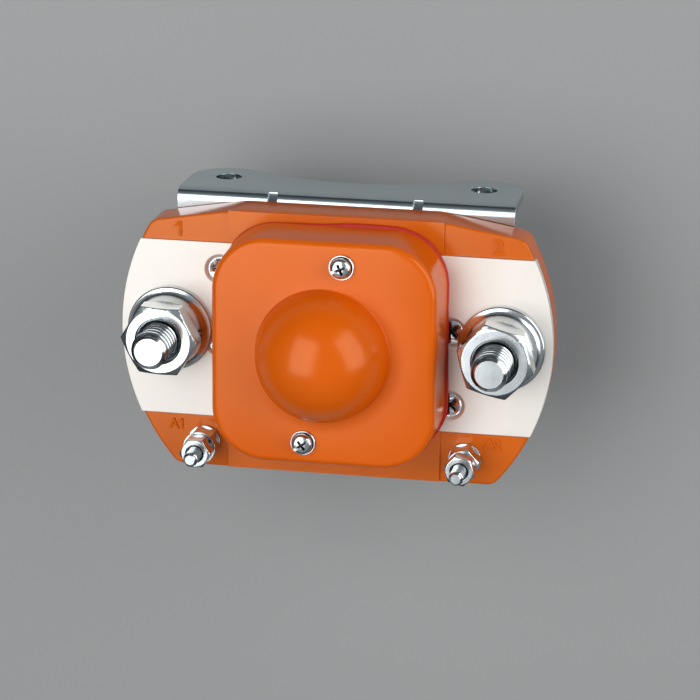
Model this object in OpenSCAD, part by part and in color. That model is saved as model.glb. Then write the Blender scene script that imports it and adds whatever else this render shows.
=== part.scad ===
// High voltage direct current contactor, single pole, with a blade bracket.
// It stands on the back of its magnet frame. The plunger axis is Z, the terminals point up
// and the bracket faces +Y. The origin is on the axis, at the base of the magnet frame.

/* [Head moulding] */
// Radius of the rounded ends, about the axis
head_r = 57.6; // [56.5:0.1:62]
// Axis to the edge on the bracket side
head_top = 33.1; // [32.5:0.1:35]
// Half width of the straight edge on the bracket side
head_top_flat = 26; // [18:0.5:32]
// Fall of the two shoulders, in degrees
shoulder_angle = 9.5; // [4:0.5:14]
// Radius where the shoulders meet the round ends
shoulder_r = 4; // [1:0.5:6]
// Axis to the edge on the coil terminal side
head_bottom = 38.3; // [37.5:0.1:42]
// Half width of the straight edge on the coil terminal side, before its corners are rounded
head_foot = 43.6; // [42:0.1:47]
// Slope of the two lower corners, in degrees
corner_angle = 55; // [50:1:66]
// Radius of the two lower corners
corner_r = 4; // [1:0.5:7]
// Thickness of the moulding
head_t = 11.5; // [11:0.1:15]
// Radius on the outer edges of the moulding
head_edge = 0.8; // [0.3:0.1:1.2]
// Half width of the raised middle that carries the cover
pad_half = 28.7; // [27.5:0.1:32]
// Depth of the cored pockets in the back
core_depth = 5; // [2:0.5:6.5]
// Wall between two cored pockets
core_rib = 2.4; // [1.6:0.2:4]

/* [Main contacts and terminals] */
// Width of the two contact plates
plate_w = 48; // [44:0.5:49]
// Thickness of the contact plates
plate_t = 3; // [2:0.1:3.4]
// Height of the plates, and of the raised middle, above the ends of the moulding
plate_proud = 0.6; // [0.4:0.1:1]
// Width of the narrow inner end of a plate
plate_neck_w = 22; // [18:0.5:26]
// Axis to the start of the wide part of a plate
plate_neck_end = 24; // [23:0.5:25]
// Axis to the inner end of a plate
plate_inner = 10.5; // [10.2:0.1:11.5]
// Axis to each main terminal stud beyond its share of the way from the cover to the moulding's end
stud_shift = 2.05; // [1.5:0.05:3]
// Thread size of the main terminal studs
stud_d = 10; // [8:0.5:10.5]
// Height of the stud tips above the plates
stud_free = 24.1; // [20:0.1:30]
// Length of the chamfer on the stud tips
stud_chamfer = 1.3; // [0.6:0.1:1.8]
// Width across flats of the stud heads
stud_head_af = 17; // [15:0.5:17.5]
// Thickness of the stud heads
stud_head_t = 6; // [4:0.2:6.2]
// Width across flats of the flange nuts
nut_af = 18; // [16:0.5:18.5]
// Height of the flange nuts
nut_h = 14; // [9:0.5:15]
// Diameter of the flange
flange_d = 23; // [21.5:0.1:24]
// Height of the flange rim
flange_rim = 1.5; // [0.8:0.1:2]
// Height at which the hollow cone of the flange meets the hexagon
flange_h = 6.8; // [3.5:0.1:7.5]
// Turn of the left nut, in degrees
nut_turn_left = -2; // [-30:1:30]
// Turn of the right nut, in degrees
nut_turn_right = -14; // [-30:1:30]
// Thread size of the countersunk plate screws
plate_screw_d = 4; // [3:0.5:4.5]
// Length of the plate screws
plate_screw_len = 9; // [6:0.5:9.5]
// Axis to the plate screws, along X
plate_screw_x = 31; // [30:0.1:32]
// Place of the upper screw of the right plate, along Y
plate_screw_high = 3.3; // [2:0.1:5]
// Place of the lower screw of the right plate, along Y
plate_screw_low = -16.7; // [-18:0.1:-15]
// Diameter of the silver contact tips
tip_d = 9; // [7:0.5:11]
// Height of the silver contact tips
tip_h = 1.6; // [1:0.1:2]
// Axis to the contact tips
tip_x = 17; // [16.5:0.1:18]

/* [Cover] */
// Width of the cover at its base
cover_w = 59.8; // [58:0.1:62]
// Depth of the cover at its base
cover_d = 61; // [59:0.1:62.5]
// Corner radius of the cover
cover_r = 14.5; // [8:0.5:16]
// Height of the cover's flat front above the ends of the moulding
cover_h = 17.5; // [15:0.1:20]
// Wall of the cover
cover_wall = 2.5; // [1.8:0.1:2.8]
// Draft of the sides, in degrees
cover_draft = 1.5; // [0.5:0.1:2.5]
// Radius round the front of the cover
cover_edge = 2; // [1:0.1:3]
// Radius of the dome
dome_r = 17.6; // [16.5:0.1:19]
// Depth of the dome's centre below the flat front
dome_sink = 0.6; // [0.2:0.1:2]
// Height of the small step round the dome
dome_step = 0.25; // [0.1:0.05:0.8]
// Thickness of the silicone gasket
gasket_t = 0.9; // [0.6:0.1:1.4]
// How far the gasket stands out beyond the cover
gasket_out = 0.25; // [0.1:0.05:0.5]
// Thread size of the cover screws
cover_screw_d = 3; // [2.5:0.1:3.2]
// Axis to the cover screws along X, the second one turned half round
cover_screw_x = 4.85; // [4.5:0.05:5]
// Axis to the cover screws along Y
cover_screw_y = 23.9; // [22.5:0.1:24.2]
// Diameter of the cover screw heads
cover_head_d = 5.5; // [5:0.1:6]
// Height of the cover screw heads
cover_head_h = 2.3; // [1.6:0.1:2.6]
// Diameter of the washers under the cover screws
cover_washer_d = 6.6; // [6.2:0.1:7.4]
// Thickness of the washers under the cover screws
cover_washer_t = 0.7; // [0.4:0.1:1]
// Depth of the cover screws in the moulding
cover_screw_grip = 7; // [4:0.5:8]

/* [Coil terminals] */
// Axis to each coil stud, along X
coil_stud_x = 35.4; // [34.5:0.1:36.5]
// Axis to each coil stud, along Y
coil_stud_y = -31.3; // [-32:0.1:-30.5]
// Thread size of the coil studs
coil_stud_d = 4; // [3:0.5:4]
// Height of the coil stud tips above the moulding
coil_stud_free = 17; // [15:0.1:20]
// Diameter of the flat washers
coil_washer_d = 8.8; // [8.5:0.1:9.5]
// Thickness of the flat washers
coil_washer_t = 0.8; // [0.5:0.1:1]
// Width across flats of the lower nuts
lower_nut_af = 8; // [7.5:0.1:8.4]
// Height of the lower nuts
lower_nut_h = 5.1; // [4:0.1:5.6]
// Outer diameter of the spring washers
lock_washer_d = 7.2; // [6.6:0.1:7.6]
// Thickness of the spring washers
lock_washer_t = 1.1; // [0.8:0.1:1.2]
// Width across flats of the upper nuts
upper_nut_af = 7.4; // [6.5:0.1:7.7]
// Height of the upper nuts
upper_nut_h = 4; // [3:0.1:4.4]
// Width of the brass coil tags
tag_w = 5; // [4:0.1:5.5]
// Thickness of the brass coil tags
tag_t = 0.8; // [0.5:0.1:1]

/* [Bracket] */
// Thickness of the bracket sheet
bracket_t = 2.5; // [2:0.1:3]
// Axis to the outer face of the bracket's flange
bracket_y = 35.3; // [34.8:0.1:38]
// Outer radius of the bend
bend_r = 3.2; // [3.1:0.1:6]
// Axis to each mounting hole
hole_x = 35; // [32:0.1:38]
// Diameter of the mounting holes
hole_d = 7; // [5:0.1:8]
// Depth of the mounting holes below the front of the leg
hole_drop = 16.3; // [14:0.1:19]
// Radius of the lobe round each mounting hole
lobe_r = 10.5; // [8:0.1:11]
// Axis to each gusset pressed in the bend
gusset_x = 19.6; // [15:0.1:24]
// Width of the gussets
gusset_w = 2.5; // [2:0.1:3.5]
// Reach of the gussets along the two sheets
gusset_reach = 5; // [4:0.1:6]
// Start of the wide part of the leg, along Y
leg_wide_y = 18; // [16:0.5:21]

/* [Magnet] */
// Width of the magnet frame over its legs
frame_w = 60; // [59.5:0.5:64]
// Depth of the magnet frame
frame_d = 44; // [43.5:0.5:46]
// Thickness of the magnet frame and the pole plate
frame_t = 4; // [3:0.1:4.2]
// Outer radius of the bends of the magnet frame
frame_bend = 6; // [5:0.5:7]
// Width of the tongue at the end of each leg
tongue_w = 20; // [14:0.5:22]
// Height between the magnet frame and the pole plate
coil_h = 38; // [37:0.5:46]
// Diameter of the bobbin flanges
bobbin_d = 43; // [42:0.5:43.5]
// Thickness of the bobbin flanges
bobbin_flange = 2; // [1.5:0.1:3]
// Wall of the bobbin tube
bobbin_wall = 1.4; // [1:0.1:2]
// Diameter of the copper winding
winding_d = 40.6; // [36:0.2:41]
// Thickness of the tape round the winding
tape_t = 0.4; // [0.2:0.1:0.5]
// Thread size of the four frame screws
frame_screw_d = 4; // [3:0.5:4]
// Gap between the heads of the frame screws and the legs of the magnet frame
frame_screw_gap = 0.5; // [0.3:0.1:1]
// Gap between the heads of the frame screws and the bobbin
frame_screw_room = 2.2; // [1.5:0.1:3]
// Head diameter of the frame screws
frame_screw_head = 7; // [6:0.1:7]
// Depth of the frame screws in the moulding
frame_screw_grip = 6.5; // [4:0.5:7]

/* [Mechanism] */
// Diameter of the plunger
plunger_d = 18; // [16:0.5:18]
// Running clearance of the plunger and of the rod, on the radius
run_gap = 0.05; // [0.02:0.01:0.08]
// Wall of the guide tube
tube_wall = 0.75; // [0.5:0.05:1]
// Stroke of the plunger
stroke = 4.5; // [4:0.1:5]
// Gap left at the contacts by the open bridge
contact_gap = 3.05; // [2.5:0.05:3.4]
// Height of the fixed core above the magnet frame
core_h = 16; // [14:0.5:17]
// Diameter of the core's spigot in the magnet frame
spigot_d = 10; // [8:0.5:12]
// Thickness of the shim on the core
shim_t = 0.5; // [0.3:0.1:0.8]
// Bore for the return spring in the core and the plunger
spring_bore_d = 9; // [8:0.1:10]
// Depth of the spring bore in the core
core_bore = 6; // [4:0.5:8]
// Depth of the spring bore in the plunger
plunger_bore = 8; // [6:0.5:9]
// Thickness of the stop washer above the plunger
stop_t = 1.4; // [1:0.1:1.8]
// Diameter of the push rod
rod_d = 6; // [5:0.5:6]
// Depth of the rod in the plunger
rod_grip = 8; // [6:0.5:9]
// Diameter of the collar on the rod
collar_d = 9; // [8:0.5:10]
// Height of the collar on the rod
collar_h = 1.5; // [1:0.1:1.8]
// Diameter of the insulating bush in the bridge
bush_d = 9; // [8:0.1:9.4]
// Diameter of the bush's flange
bush_flange_d = 14; // [12:0.5:15]
// Height of the bush's flange
bush_flange_h = 2.5; // [2:0.1:2.6]
// Length of the bush above its flange
bush_len = 5.2; // [4.8:0.1:6]
// Length of the contact bridge
bridge_l = 48; // [46:0.5:50]
// Width of the contact bridge
bridge_w = 16; // [15:0.5:19]
// Thickness of the contact bridge
bridge_t = 3; // [2:0.1:3.4]
// Mean diameter of the contact spring
contact_coil_d = 12; // [11.6:0.1:12.6]
// Wire of the contact spring
contact_wire = 1.2; // [0.8:0.1:1.4]
// Length of the contact spring with the contacts open
contact_spring_l = 8.2; // [7.5:0.1:9]
// Mean diameter of the return spring
return_coil_d = 7; // [6:0.1:7.2]
// Wire of the return spring
return_wire = 0.9; // [0.6:0.1:1]
// Diameter of the spring seat
seat_d = 15; // [14.5:0.1:16.5]
// Thickness of the spring seat
seat_t = 1.2; // [0.8:0.1:1.6]
// Width across flats of the lock nut
lock_nut_af = 10; // [9:0.5:11]
// Height of the lock nut
lock_nut_h = 4; // [3:0.1:4.5]
// Length of rod above the lock nut
rod_end = 1.3; // [0.8:0.1:1.8]

/* [Hidden] */
$fn = 64;

// Clearance of a part in its seat, the small overrun of a cut and the thinnest slice of a hull
fit = 0.1;
over = 0.5;
slice = 0.01;

// Finishes
orange = "#dd7327";
nickel = "#e6e2da";
zinc = "#c3cbd0";
silver_tip = "#d8dadb";
red_silicone = "#b3271c";
copper = "#b8683a";
brass = "#c9a54d";
black_nylon = "#232427";
black_tape = "#2b2b2e";
fibre = "#4a3a2c";
spring_wire = "#8f959b";

// Axis to each main terminal stud, and the rolled shank of a stud as a share of its thread
stud_share = 0.45;
stud_x = cover_w / 2 + stud_share * (head_r - cover_w / 2) + stud_shift;
shank_share = 0.88;

// Levels from the base up
z_coil = frame_t + coil_h;
z_pole = z_coil + frame_t;
z_back = z_pole + bracket_t;
z_face = z_back + head_t;
z_seat = z_face + plate_proud;
z_cover = z_seat + gasket_t;
z_front = z_face + cover_h;

// Mechanism levels with the contacts open
well_room = 1;
tube_r = plunger_d / 2 + run_gap;
tube_out = tube_r + tube_wall;
z_core = frame_t + core_h;
z_plunger_top = z_pole - stop_t - 2 * fit;
z_plunger = z_core + shim_t + fit + stroke;
z_fixed_tip = z_seat + tip_h;
z_moving_tip = z_fixed_tip + contact_gap;
z_bridge = z_moving_tip + tip_h;
z_bridge_top = z_bridge + bridge_t;
z_bush = z_bridge - bush_flange_h;
z_collar = z_bush - collar_h;
z_spring_seat = z_bridge_top + contact_spring_l;
z_lock_nut = z_spring_seat + seat_t;
z_rod_top = z_lock_nut + lock_nut_h + rod_end;
well_floor = z_collar - stroke - well_room;
well_d = bush_flange_d + 4 * well_room;

// Coil terminal levels, where the left terminal has one more washer
z_lower_nut = z_face + coil_washer_t;
z_lower_top = z_lower_nut + lower_nut_h;
function lock_washer_z(side) = z_lower_top + (side < 0 ? coil_washer_t : 0);
function upper_nut_z(side) = lock_washer_z(side) + lock_washer_t;
function upper_nut_top(side) = upper_nut_z(side) + upper_nut_h;
coil_head_af = 7;
coil_head_t = 2.8;

// Axis to the frame screws along X and Y, between the bobbin and the legs of the magnet frame
frame_screw_x = frame_w / 2 - frame_t - frame_screw_head / 2 - frame_screw_gap;
frame_screw_r = (bobbin_d + frame_screw_head) / 2 + frame_screw_room;
frame_screw_y = sqrt(max(1, frame_screw_r * frame_screw_r - frame_screw_x * frame_screw_x));

// The bobbin's ears beside the frame screws, and where a coil tag turns down into one
ear_gap = 2.6;
ear_out = 3.2;
ear_wall = 1.8;
ear_w = tag_w + ear_wall;
ear_x = frame_screw_x - (frame_screw_head + ear_w) / 2 - ear_gap;
tag_end = [ear_x, -frame_d / 2 - ear_out];
tag_tail = 2;
tag_margin = 1.5;

// Reach of the plates beyond the moulded ends, depth of the plate screws' heads in the plates, step back
// of the raised middle from the moulding's edges, and the gasket's width beyond the cover's wall
plate_out = 0.2;
csk_sink = 0.7;
pad_inset = 0.3;
gasket_in = 0.4;

// Wall of the cover's screw bosses beyond the washers
boss_wall = 0.7;

// Turned edges
flange_edge = 0.3;
dome_ring = 0.35;
rod_chamfer = 0.6;

// Turns of the springs and their slack between the seats
return_turns = 8;
contact_turns = 5;
seat_gap = 0.05;

// Hole for the rod in the bracket and in the stop washer
rod_hole = rod_d + 1.2;

// Widest part of a nut's countersink, as a share of its bore
countersink = 1.26;

// Hidden side of the moulding
pocket_depth = stud_head_t + fit;
core_wall = 2.5;
core_count = 4;

// Points of a polygon that is mirrored about the Y axis
function both_sides(half) = concat(half, [for (i = [len(half) - 1:-1:0]) [-half[i].x, half[i].y]]);

// A rectangle with round corners, about its centre
module rounded_rect(w, d, r) {
  square([w - 2 * r, d], center = true);
  square([w, d - 2 * r], center = true);
  for (x = [-1, 1], y = [-1, 1])
    translate([x * (w / 2 - r), y * (d / 2 - r)])
      circle(r);
}

// A flat ring
module ring(d, bore, h) {
  difference() {
    cylinder(d = d, h = h);
    translate([0, 0, -over])
      cylinder(d = bore, h = h + 2 * over);
  }
}

// A hexagonal prism with a corner on X, its top corners turned off at 30 degrees, and its lower corners
// at 45 degrees where it stands on a cone
module hexagon(af, h, on_cone = false, flat = 0.95) {
  corner = af / 2 / cos(30);
  top = af / 2 * flat;
  fall = (corner - top) * tan(30);
  wide = corner + over;
  low = on_cone ? [[top, 0], [wide, wide - top]] : [[wide, 0]];
  intersection() {
    cylinder(r = corner, h = h, $fn = 6);
    rotate_extrude()
      polygon(concat([[0, 0]], low, [[wide, h - fall - over * tan(30)], [top, h], [0, h]]));
  }
}

// Countersink of a nut's bore, with the nut's face at zero
module countersink_cut(bore) {
  depth = bore * (countersink - 1) / 2;
  translate([0, 0, -depth])
    cylinder(d1 = bore, d2 = bore * (2 * countersink - 1), h = 2 * depth);
}

// A hexagonal nut with a countersunk bore
module hex_nut(af, h, bore) {
  difference() {
    hexagon(af, h);
    translate([0, 0, -over])
      cylinder(d = bore, h = h + 2 * over);
    translate([0, 0, h])
      countersink_cut(bore);
  }
}

// A round pin with a chamfered tip
module pin(d, h, chamfer) {
  rotate_extrude()
    polygon([[0, 0], [d / 2, 0], [d / 2, h - chamfer], [d / 2 - chamfer, h], [0, h]]);
}

// A pan head whose top is a shallow ball
module pan_head(d, h) {
  ball = d * 0.62;
  intersection() {
    cylinder(d = d, h = h);
    translate([0, 0, h - ball])
      sphere(ball);
  }
}

// Wire wound round Z, with one closed turn at each end
function helix_z(u, turns, rise, wire) =
  let (close = wire * 1.1, pitch = (rise - 2 * close) / (turns - 2))
  u < 1 ? u * close : u > turns - 1 ? rise - (turns - u) * close : close + (u - 1) * pitch;

module coil_spring(d, wire, length, turns, steps = 18, sides = 8) {
  rings = turns * steps;
  rise = length - wire;
  points = [
    for (i = [0:rings], k = [0:sides - 1])
      let (u = i / steps, a = 360 * u, b = 360 * k / sides, r = d / 2 + wire / 2 * cos(b))
      [r * cos(a), r * sin(a), wire / 2 + helix_z(u, turns, rise, wire) + wire / 2 * sin(b)]
  ];
  walls = [
    for (i = [0:rings - 1], k = [0:sides - 1])
      let (n = (k + 1) % sides)
      [i * sides + k, i * sides + n, (i + 1) * sides + n, (i + 1) * sides + k]
  ];
  ends = [[for (k = [sides - 1:-1:0]) k], [for (k = [0:sides - 1]) rings * sides + k]];
  polyhedron(points, concat(walls, ends));
}

// Outline of the head: round ends, falling shoulders and sloping lower corners
module head_outline() {
  reach = head_r * 1.1;
  shoulder_y = head_top - (reach - head_top_flat) * tan(shoulder_angle);
  corner_y = -head_bottom + (reach - head_foot) * tan(corner_angle);
  half = [[head_foot, -head_bottom], [reach, corner_y], [reach, shoulder_y], [head_top_flat, head_top]];
  offset(r = shoulder_r)
    offset(delta = -shoulder_r)
      intersection() {
        circle(head_r, $fn = 120);
        offset(r = corner_r)
          offset(delta = -corner_r)
            polygon(both_sides(half));
      }
}

// Outline of the right contact plate, with the clearance that its seat adds
module plate_outline(end_r, gap = 0) {
  intersection() {
    circle(end_r);
    union() {
      translate([plate_neck_end - gap, -plate_w / 2 - gap])
        square([head_r, plate_w + 2 * gap]);
      translate([plate_inner - gap, -plate_neck_w / 2 - gap])
        square([plate_neck_end - plate_inner + 1, plate_neck_w + 2 * gap]);
    }
  }
}

// The right half of the contacts, and the left half turned half round
module each_plate() {
  children();
  rotate(180)
    children();
}

module plate_screw_places() {
  for (y = [plate_screw_high, plate_screw_low])
    translate([plate_screw_x, y])
      children();
}

module stud_place(side) {
  translate([side * stud_x, 0, 0])
    children();
}

module coil_place(side) {
  translate([side * coil_stud_x, coil_stud_y, 0])
    children();
}

module cover_screw_places() {
  for (side = [-1, 1])
    translate([side * cover_screw_x, side * cover_screw_y])
      children();
}

module frame_screw_places() {
  for (x = [-1, 1], y = [-1, 1])
    translate([x * frame_screw_x, y * frame_screw_y])
      children();
}

// Moulded body with rounded edges
module head_body() {
  translate([0, 0, z_back])
    hull()
      for (a = [0, 45, 90])
        translate([0, 0, head_edge * (1 - cos(a))])
          linear_extrude(head_t - 2 * head_edge * (1 - cos(a)))
            offset(delta = -head_edge * (1 - sin(a)))
              head_outline();
}

// Raised middle of the moulding, which carries the gasket
module head_pad() {
  reach_y = head_bottom + head_top - 2 * pad_inset;
  translate([-pad_half, -head_bottom + pad_inset, z_face - over])
    cube([2 * pad_half, reach_y, over + plate_proud]);
}

// Row of cored pockets in the back, below the magnet frame
module head_cores() {
  low = -head_bottom + core_wall;
  high = -frame_d / 2 - tag_w - tag_margin;
  pitch = (2 * pad_half + core_rib) / core_count;
  for (i = [0:core_count - 1])
    translate([-pad_half + i * pitch, low, z_back - over])
      cube([pitch - core_rib, high - low, core_depth + over]);
}

module head_moulding() {
  color(orange)
    difference() {
      union() {
        head_body();
        head_pad();
      }
      each_plate()
        translate([0, 0, z_seat - plate_t])
          linear_extrude(plate_t + over)
            plate_outline(head_r + over, fit);
      each_plate()
        plate_screw_places()
          translate([0, 0, z_seat - plate_screw_len - fit])
            cylinder(d = plate_screw_d + fit, h = plate_screw_len);
      for (side = [-1, 1]) {
        stud_place(side) {
          translate([0, 0, z_back - over])
            cylinder(d = stud_d + 2 * fit, h = head_t + over);
          translate([0, 0, z_back - over])
            cylinder(d = (stud_head_af + 2 * fit) / cos(30), h = pocket_depth + over, $fn = 6);
        }
        coil_place(side)
          translate([0, 0, z_back - over])
            cylinder(d = coil_stud_d + 2 * fit, h = head_t + 2 * over);
      }
      translate([0, 0, well_floor])
        cylinder(d = well_d, h = z_seat - well_floor + over);
      translate([0, 0, z_back - over])
        cylinder(d = rod_d + 2 * run_gap, h = head_t + over);
      cover_screw_places()
        translate([0, 0, z_seat - cover_screw_grip - fit])
          cylinder(d = cover_screw_d + fit, h = cover_screw_grip + over);
      frame_screw_places()
        translate([0, 0, z_back - over])
          cylinder(d = frame_screw_d + fit, h = frame_screw_grip + over + fit);
      head_cores();
    }
}

// Nickel plated copper plate: stud hole, two countersunk holes and a narrow inner end
module contact_plate() {
  color(nickel)
    difference() {
      translate([0, 0, z_seat - plate_t])
        linear_extrude(plate_t)
          plate_outline(head_r + plate_out);
      translate([stud_x, 0, z_seat - plate_t - over])
        cylinder(d = stud_d + 2 * fit, h = plate_t + 2 * over);
      plate_screw_places()
        translate([0, 0, z_seat])
          csk_cut(plate_screw_d);
    }
}

// Countersunk screw with its head sunk below zero, and the hole that it needs
module csk_screw(d, length) {
  head_h = d / 2 - csk_sink;
  translate([0, 0, -length])
    cylinder(d = d, h = length - d / 2 + head_h / 2);
  translate([0, 0, -d / 2])
    cylinder(d1 = d, d2 = d + 2 * head_h, h = head_h);
}

module csk_cut(d) {
  translate([0, 0, -plate_t - over])
    cylinder(d = d + 2 * fit, h = plate_t + 2 * over);
  translate([0, 0, -d / 2 - fit])
    cylinder(d1 = d, d2 = 2 * d + 4 * fit, h = d / 2 + 2 * fit);
}

module contact_plate_right() {
  contact_plate();
}

module contact_plate_left() {
  rotate(180)
    contact_plate();
}

module contact_tip() {
  rotate_extrude()
    polygon([[0, 0], [tip_d / 2, 0], [tip_d / 2, tip_h * 0.7], [tip_d / 2 - tip_h * 0.3, tip_h], [0, tip_h]]);
}

module fixed_tips() {
  color(silver_tip)
    each_plate()
      translate([tip_x, 0, z_seat])
        contact_tip();
}

module plate_screws() {
  color(zinc)
    each_plate()
      plate_screw_places()
        translate([0, 0, z_seat])
          csk_screw(plate_screw_d, plate_screw_len);
}

// Hexagon headed stud: a plain shank in the seat and the nut, and the free end above the nut
module terminal_stud(side) {
  shank = z_seat + nut_h - z_back - pocket_depth;
  color(zinc)
    stud_place(side) {
      translate([0, 0, z_back + fit])
        cylinder(d = stud_head_af / cos(30), h = stud_head_t, $fn = 6);
      translate([0, 0, z_back + fit + stud_head_t - over])
        cylinder(d = stud_d * shank_share, h = shank + over);
      translate([0, 0, z_seat + nut_h])
        pin(stud_d, stud_free - nut_h, stud_chamfer);
    }
}

module terminal_stud_left() {
  terminal_stud(-1);
}

module terminal_stud_right() {
  terminal_stud(1);
}

// Short hexagon on a hollow cone that runs out into a round flange
module flange_nut(side, turn) {
  rim_r = flange_d / 2;
  lip_r = rim_r - flange_edge;
  neck_r = nut_af / 2 - 2 * flange_edge;
  neck_top = flange_h + flange_edge;
  sweep = [
    for (a = [0:15:90])
      [lip_r - (lip_r - neck_r) * sin(a), flange_rim + (flange_h - flange_rim) * (1 - cos(a))]
  ];
  rim = [[0, 0], [lip_r, 0], [rim_r, flange_edge], [rim_r, flange_rim - flange_edge]];
  color(zinc)
    stud_place(side)
      translate([0, 0, z_seat])
        rotate(turn)
          difference() {
            union() {
              rotate_extrude()
                polygon(concat(rim, sweep, [[neck_r, neck_top], [0, neck_top]]));
              translate([0, 0, flange_h])
                hexagon(nut_af, nut_h - flange_h, true);
            }
            translate([0, 0, -over])
              cylinder(d = stud_d, h = nut_h + 2 * over);
            translate([0, 0, nut_h])
              countersink_cut(stud_d);
          }
}

module flange_nut_left() {
  flange_nut(-1, nut_turn_left);
}

module flange_nut_right() {
  flange_nut(1, nut_turn_right);
}

// One solid of the cover's form: drafted sides, rounded front edge
module cover_form(inset, z_low, z_top, edge) {
  w = cover_w - 2 * inset;
  d = cover_d - 2 * inset;
  r = cover_r - inset;
  fall = (z_top - edge - z_low) * tan(cover_draft);
  hull() {
    translate([0, 0, z_low])
      linear_extrude(slice)
        rounded_rect(w, d, r, $fn = 48);
    for (a = [0, 30, 60, 90]) {
      step = fall + edge * (1 - cos(a));
      translate([0, 0, z_top - edge + edge * sin(a) - slice])
        linear_extrude(slice)
          rounded_rect(w - 2 * step, d - 2 * step, r - step, $fn = 48);
    }
  }
}

module arc_cover() {
  boss_r = cover_washer_d / 2 + boss_wall;
  dome_z = z_front - dome_sink;
  color(orange)
    difference() {
      union() {
        difference() {
          union() {
            cover_form(0, z_cover, z_front, cover_edge);
            intersection() {
              translate([0, 0, dome_z])
                sphere(dome_r, $fn = 96);
              translate([0, 0, z_front - over])
                cylinder(r = dome_r + dome_ring, h = dome_r + over);
            }
            translate([0, 0, z_front - over])
              cylinder(r = dome_r + dome_ring, h = over + dome_step);
          }
          cover_form(cover_wall, z_cover - over, z_front - cover_wall, cover_edge / 2);
          translate([0, 0, dome_z])
            sphere(dome_r - cover_wall, $fn = 96);
        }
        cover_screw_places()
          translate([0, 0, z_cover])
            cylinder(r = boss_r, h = z_front - cover_wall - z_cover + fit);
      }
      cover_screw_places()
        translate([0, 0, z_seat - over])
          cylinder(d = cover_screw_d + 4 * fit, h = cover_h + 2 * over);
    }
}

module cover_gasket() {
  lip = cover_wall + gasket_in;
  color(red_silicone)
    translate([0, 0, z_seat])
      linear_extrude(gasket_t)
        difference() {
          rounded_rect(cover_w + 2 * gasket_out, cover_d + 2 * gasket_out, cover_r + gasket_out);
          rounded_rect(cover_w - 2 * lip, cover_d - 2 * lip, cover_r - lip);
        }
}

module cover_screws() {
  length = z_front + cover_washer_t - z_seat + cover_screw_grip;
  color(zinc)
    cover_screw_places()
      translate([0, 0, z_front + cover_washer_t]) {
        translate([0, 0, -length])
          cylinder(d = cover_screw_d, h = length + fit);
        pan_head(cover_head_d, cover_head_h);
      }
}

module cover_washers() {
  color(zinc)
    cover_screw_places()
      translate([0, 0, z_front])
        ring(cover_washer_d, cover_screw_d + 2 * fit, cover_washer_t);
}

// Screw through the moulding from behind, whose head holds the coil tag
module coil_stud(side) {
  tip_chamfer = 0.7;
  head_z = z_back - tag_t - coil_head_t;
  color(zinc)
    coil_place(side) {
      translate([0, 0, head_z])
        cylinder(d = coil_head_af / cos(30), h = coil_head_t, $fn = 6);
      translate([0, 0, head_z + coil_head_t - over])
        cylinder(d = coil_stud_d * shank_share, h = upper_nut_top(side) - head_z - coil_head_t + over);
      translate([0, 0, upper_nut_top(side)])
        pin(coil_stud_d, z_face + coil_stud_free - upper_nut_top(side), tip_chamfer);
    }
}

module coil_stud_left() {
  coil_stud(-1);
}

module coil_stud_right() {
  coil_stud(1);
}

module coil_base_washers() {
  color(zinc)
    for (side = [-1, 1])
      coil_place(side)
        translate([0, 0, z_face])
          ring(coil_washer_d, coil_stud_d + 2 * fit, coil_washer_t);
}

module coil_lower_nuts() {
  turns = [-14, 13];
  color(zinc)
    for (i = [0, 1])
      coil_place(2 * i - 1)
        translate([0, 0, z_lower_nut])
          rotate(turns[i])
            hex_nut(lower_nut_af, lower_nut_h, coil_stud_d);
}

module coil_flat_washer() {
  color(zinc)
    coil_place(-1)
      translate([0, 0, z_lower_top])
        ring(coil_washer_d, coil_stud_d + 2 * fit, coil_washer_t);
}

// Split spring washers
module coil_spring_washers() {
  split = 0.9;
  split_turn = 35;
  color(zinc)
    for (side = [-1, 1])
      coil_place(side)
        translate([0, 0, lock_washer_z(side)])
          difference() {
            ring(lock_washer_d, coil_stud_d + 2 * fit, lock_washer_t);
            rotate(split_turn)
              translate([0, -split / 2, -over])
                cube([lock_washer_d, split, lock_washer_t + 2 * over]);
          }
}

module coil_upper_nuts() {
  turns = [2, 46];
  color(zinc)
    for (i = [0, 1])
      coil_place(2 * i - 1)
        translate([0, 0, upper_nut_z(2 * i - 1)])
          rotate(turns[i])
            hex_nut(upper_nut_af, upper_nut_h, coil_stud_d);
}

// Brass strip from the head of a coil stud to the bobbin's ear, where it turns down
module coil_tag(side) {
  from = [coil_stud_x, coil_stud_y];
  along = tag_end - from;
  tail_z = z_coil - bobbin_flange - tag_tail;
  mirror([side < 0 ? 1 : 0, 0, 0])
    difference() {
      union() {
        translate([0, 0, z_back - tag_t])
          linear_extrude(tag_t) {
            translate(from)
              circle(d = coil_head_af + tag_margin);
            translate(from)
              rotate(atan2(along.y, along.x))
                translate([0, -tag_w / 2])
                  square([norm(along), tag_w]);
            translate(tag_end - [tag_w / 2, tag_t / 2])
              square([tag_w, tag_t]);
          }
        translate([tag_end.x - tag_w / 2, tag_end.y - tag_t / 2, tail_z])
          cube([tag_w, tag_t, z_back - tail_z]);
      }
      translate([from.x, from.y, z_back - tag_t - over])
        cylinder(d = coil_stud_d + 2 * fit, h = tag_t + 2 * over);
    }
}

module coil_tags() {
  color(brass)
    for (side = [-1, 1])
      coil_tag(side);
}

// Section of the bracket across the bend: leg, bend and flange
module bracket_section(depth) {
  inner_r = bend_r - bracket_t;
  bend_y = bracket_y - bend_r;
  bend_z = z_back - bend_r;
  translate([-frame_d / 2, z_pole])
    square([bend_y + frame_d / 2, bracket_t]);
  translate([bracket_y - bracket_t, z_back - depth])
    square([bracket_t, depth - bend_r]);
  intersection() {
    translate([bend_y, bend_z])
      difference() {
        circle(bend_r);
        circle(inner_r);
      }
    translate([bend_y, bend_z])
      square(bend_r);
  }
}

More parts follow.
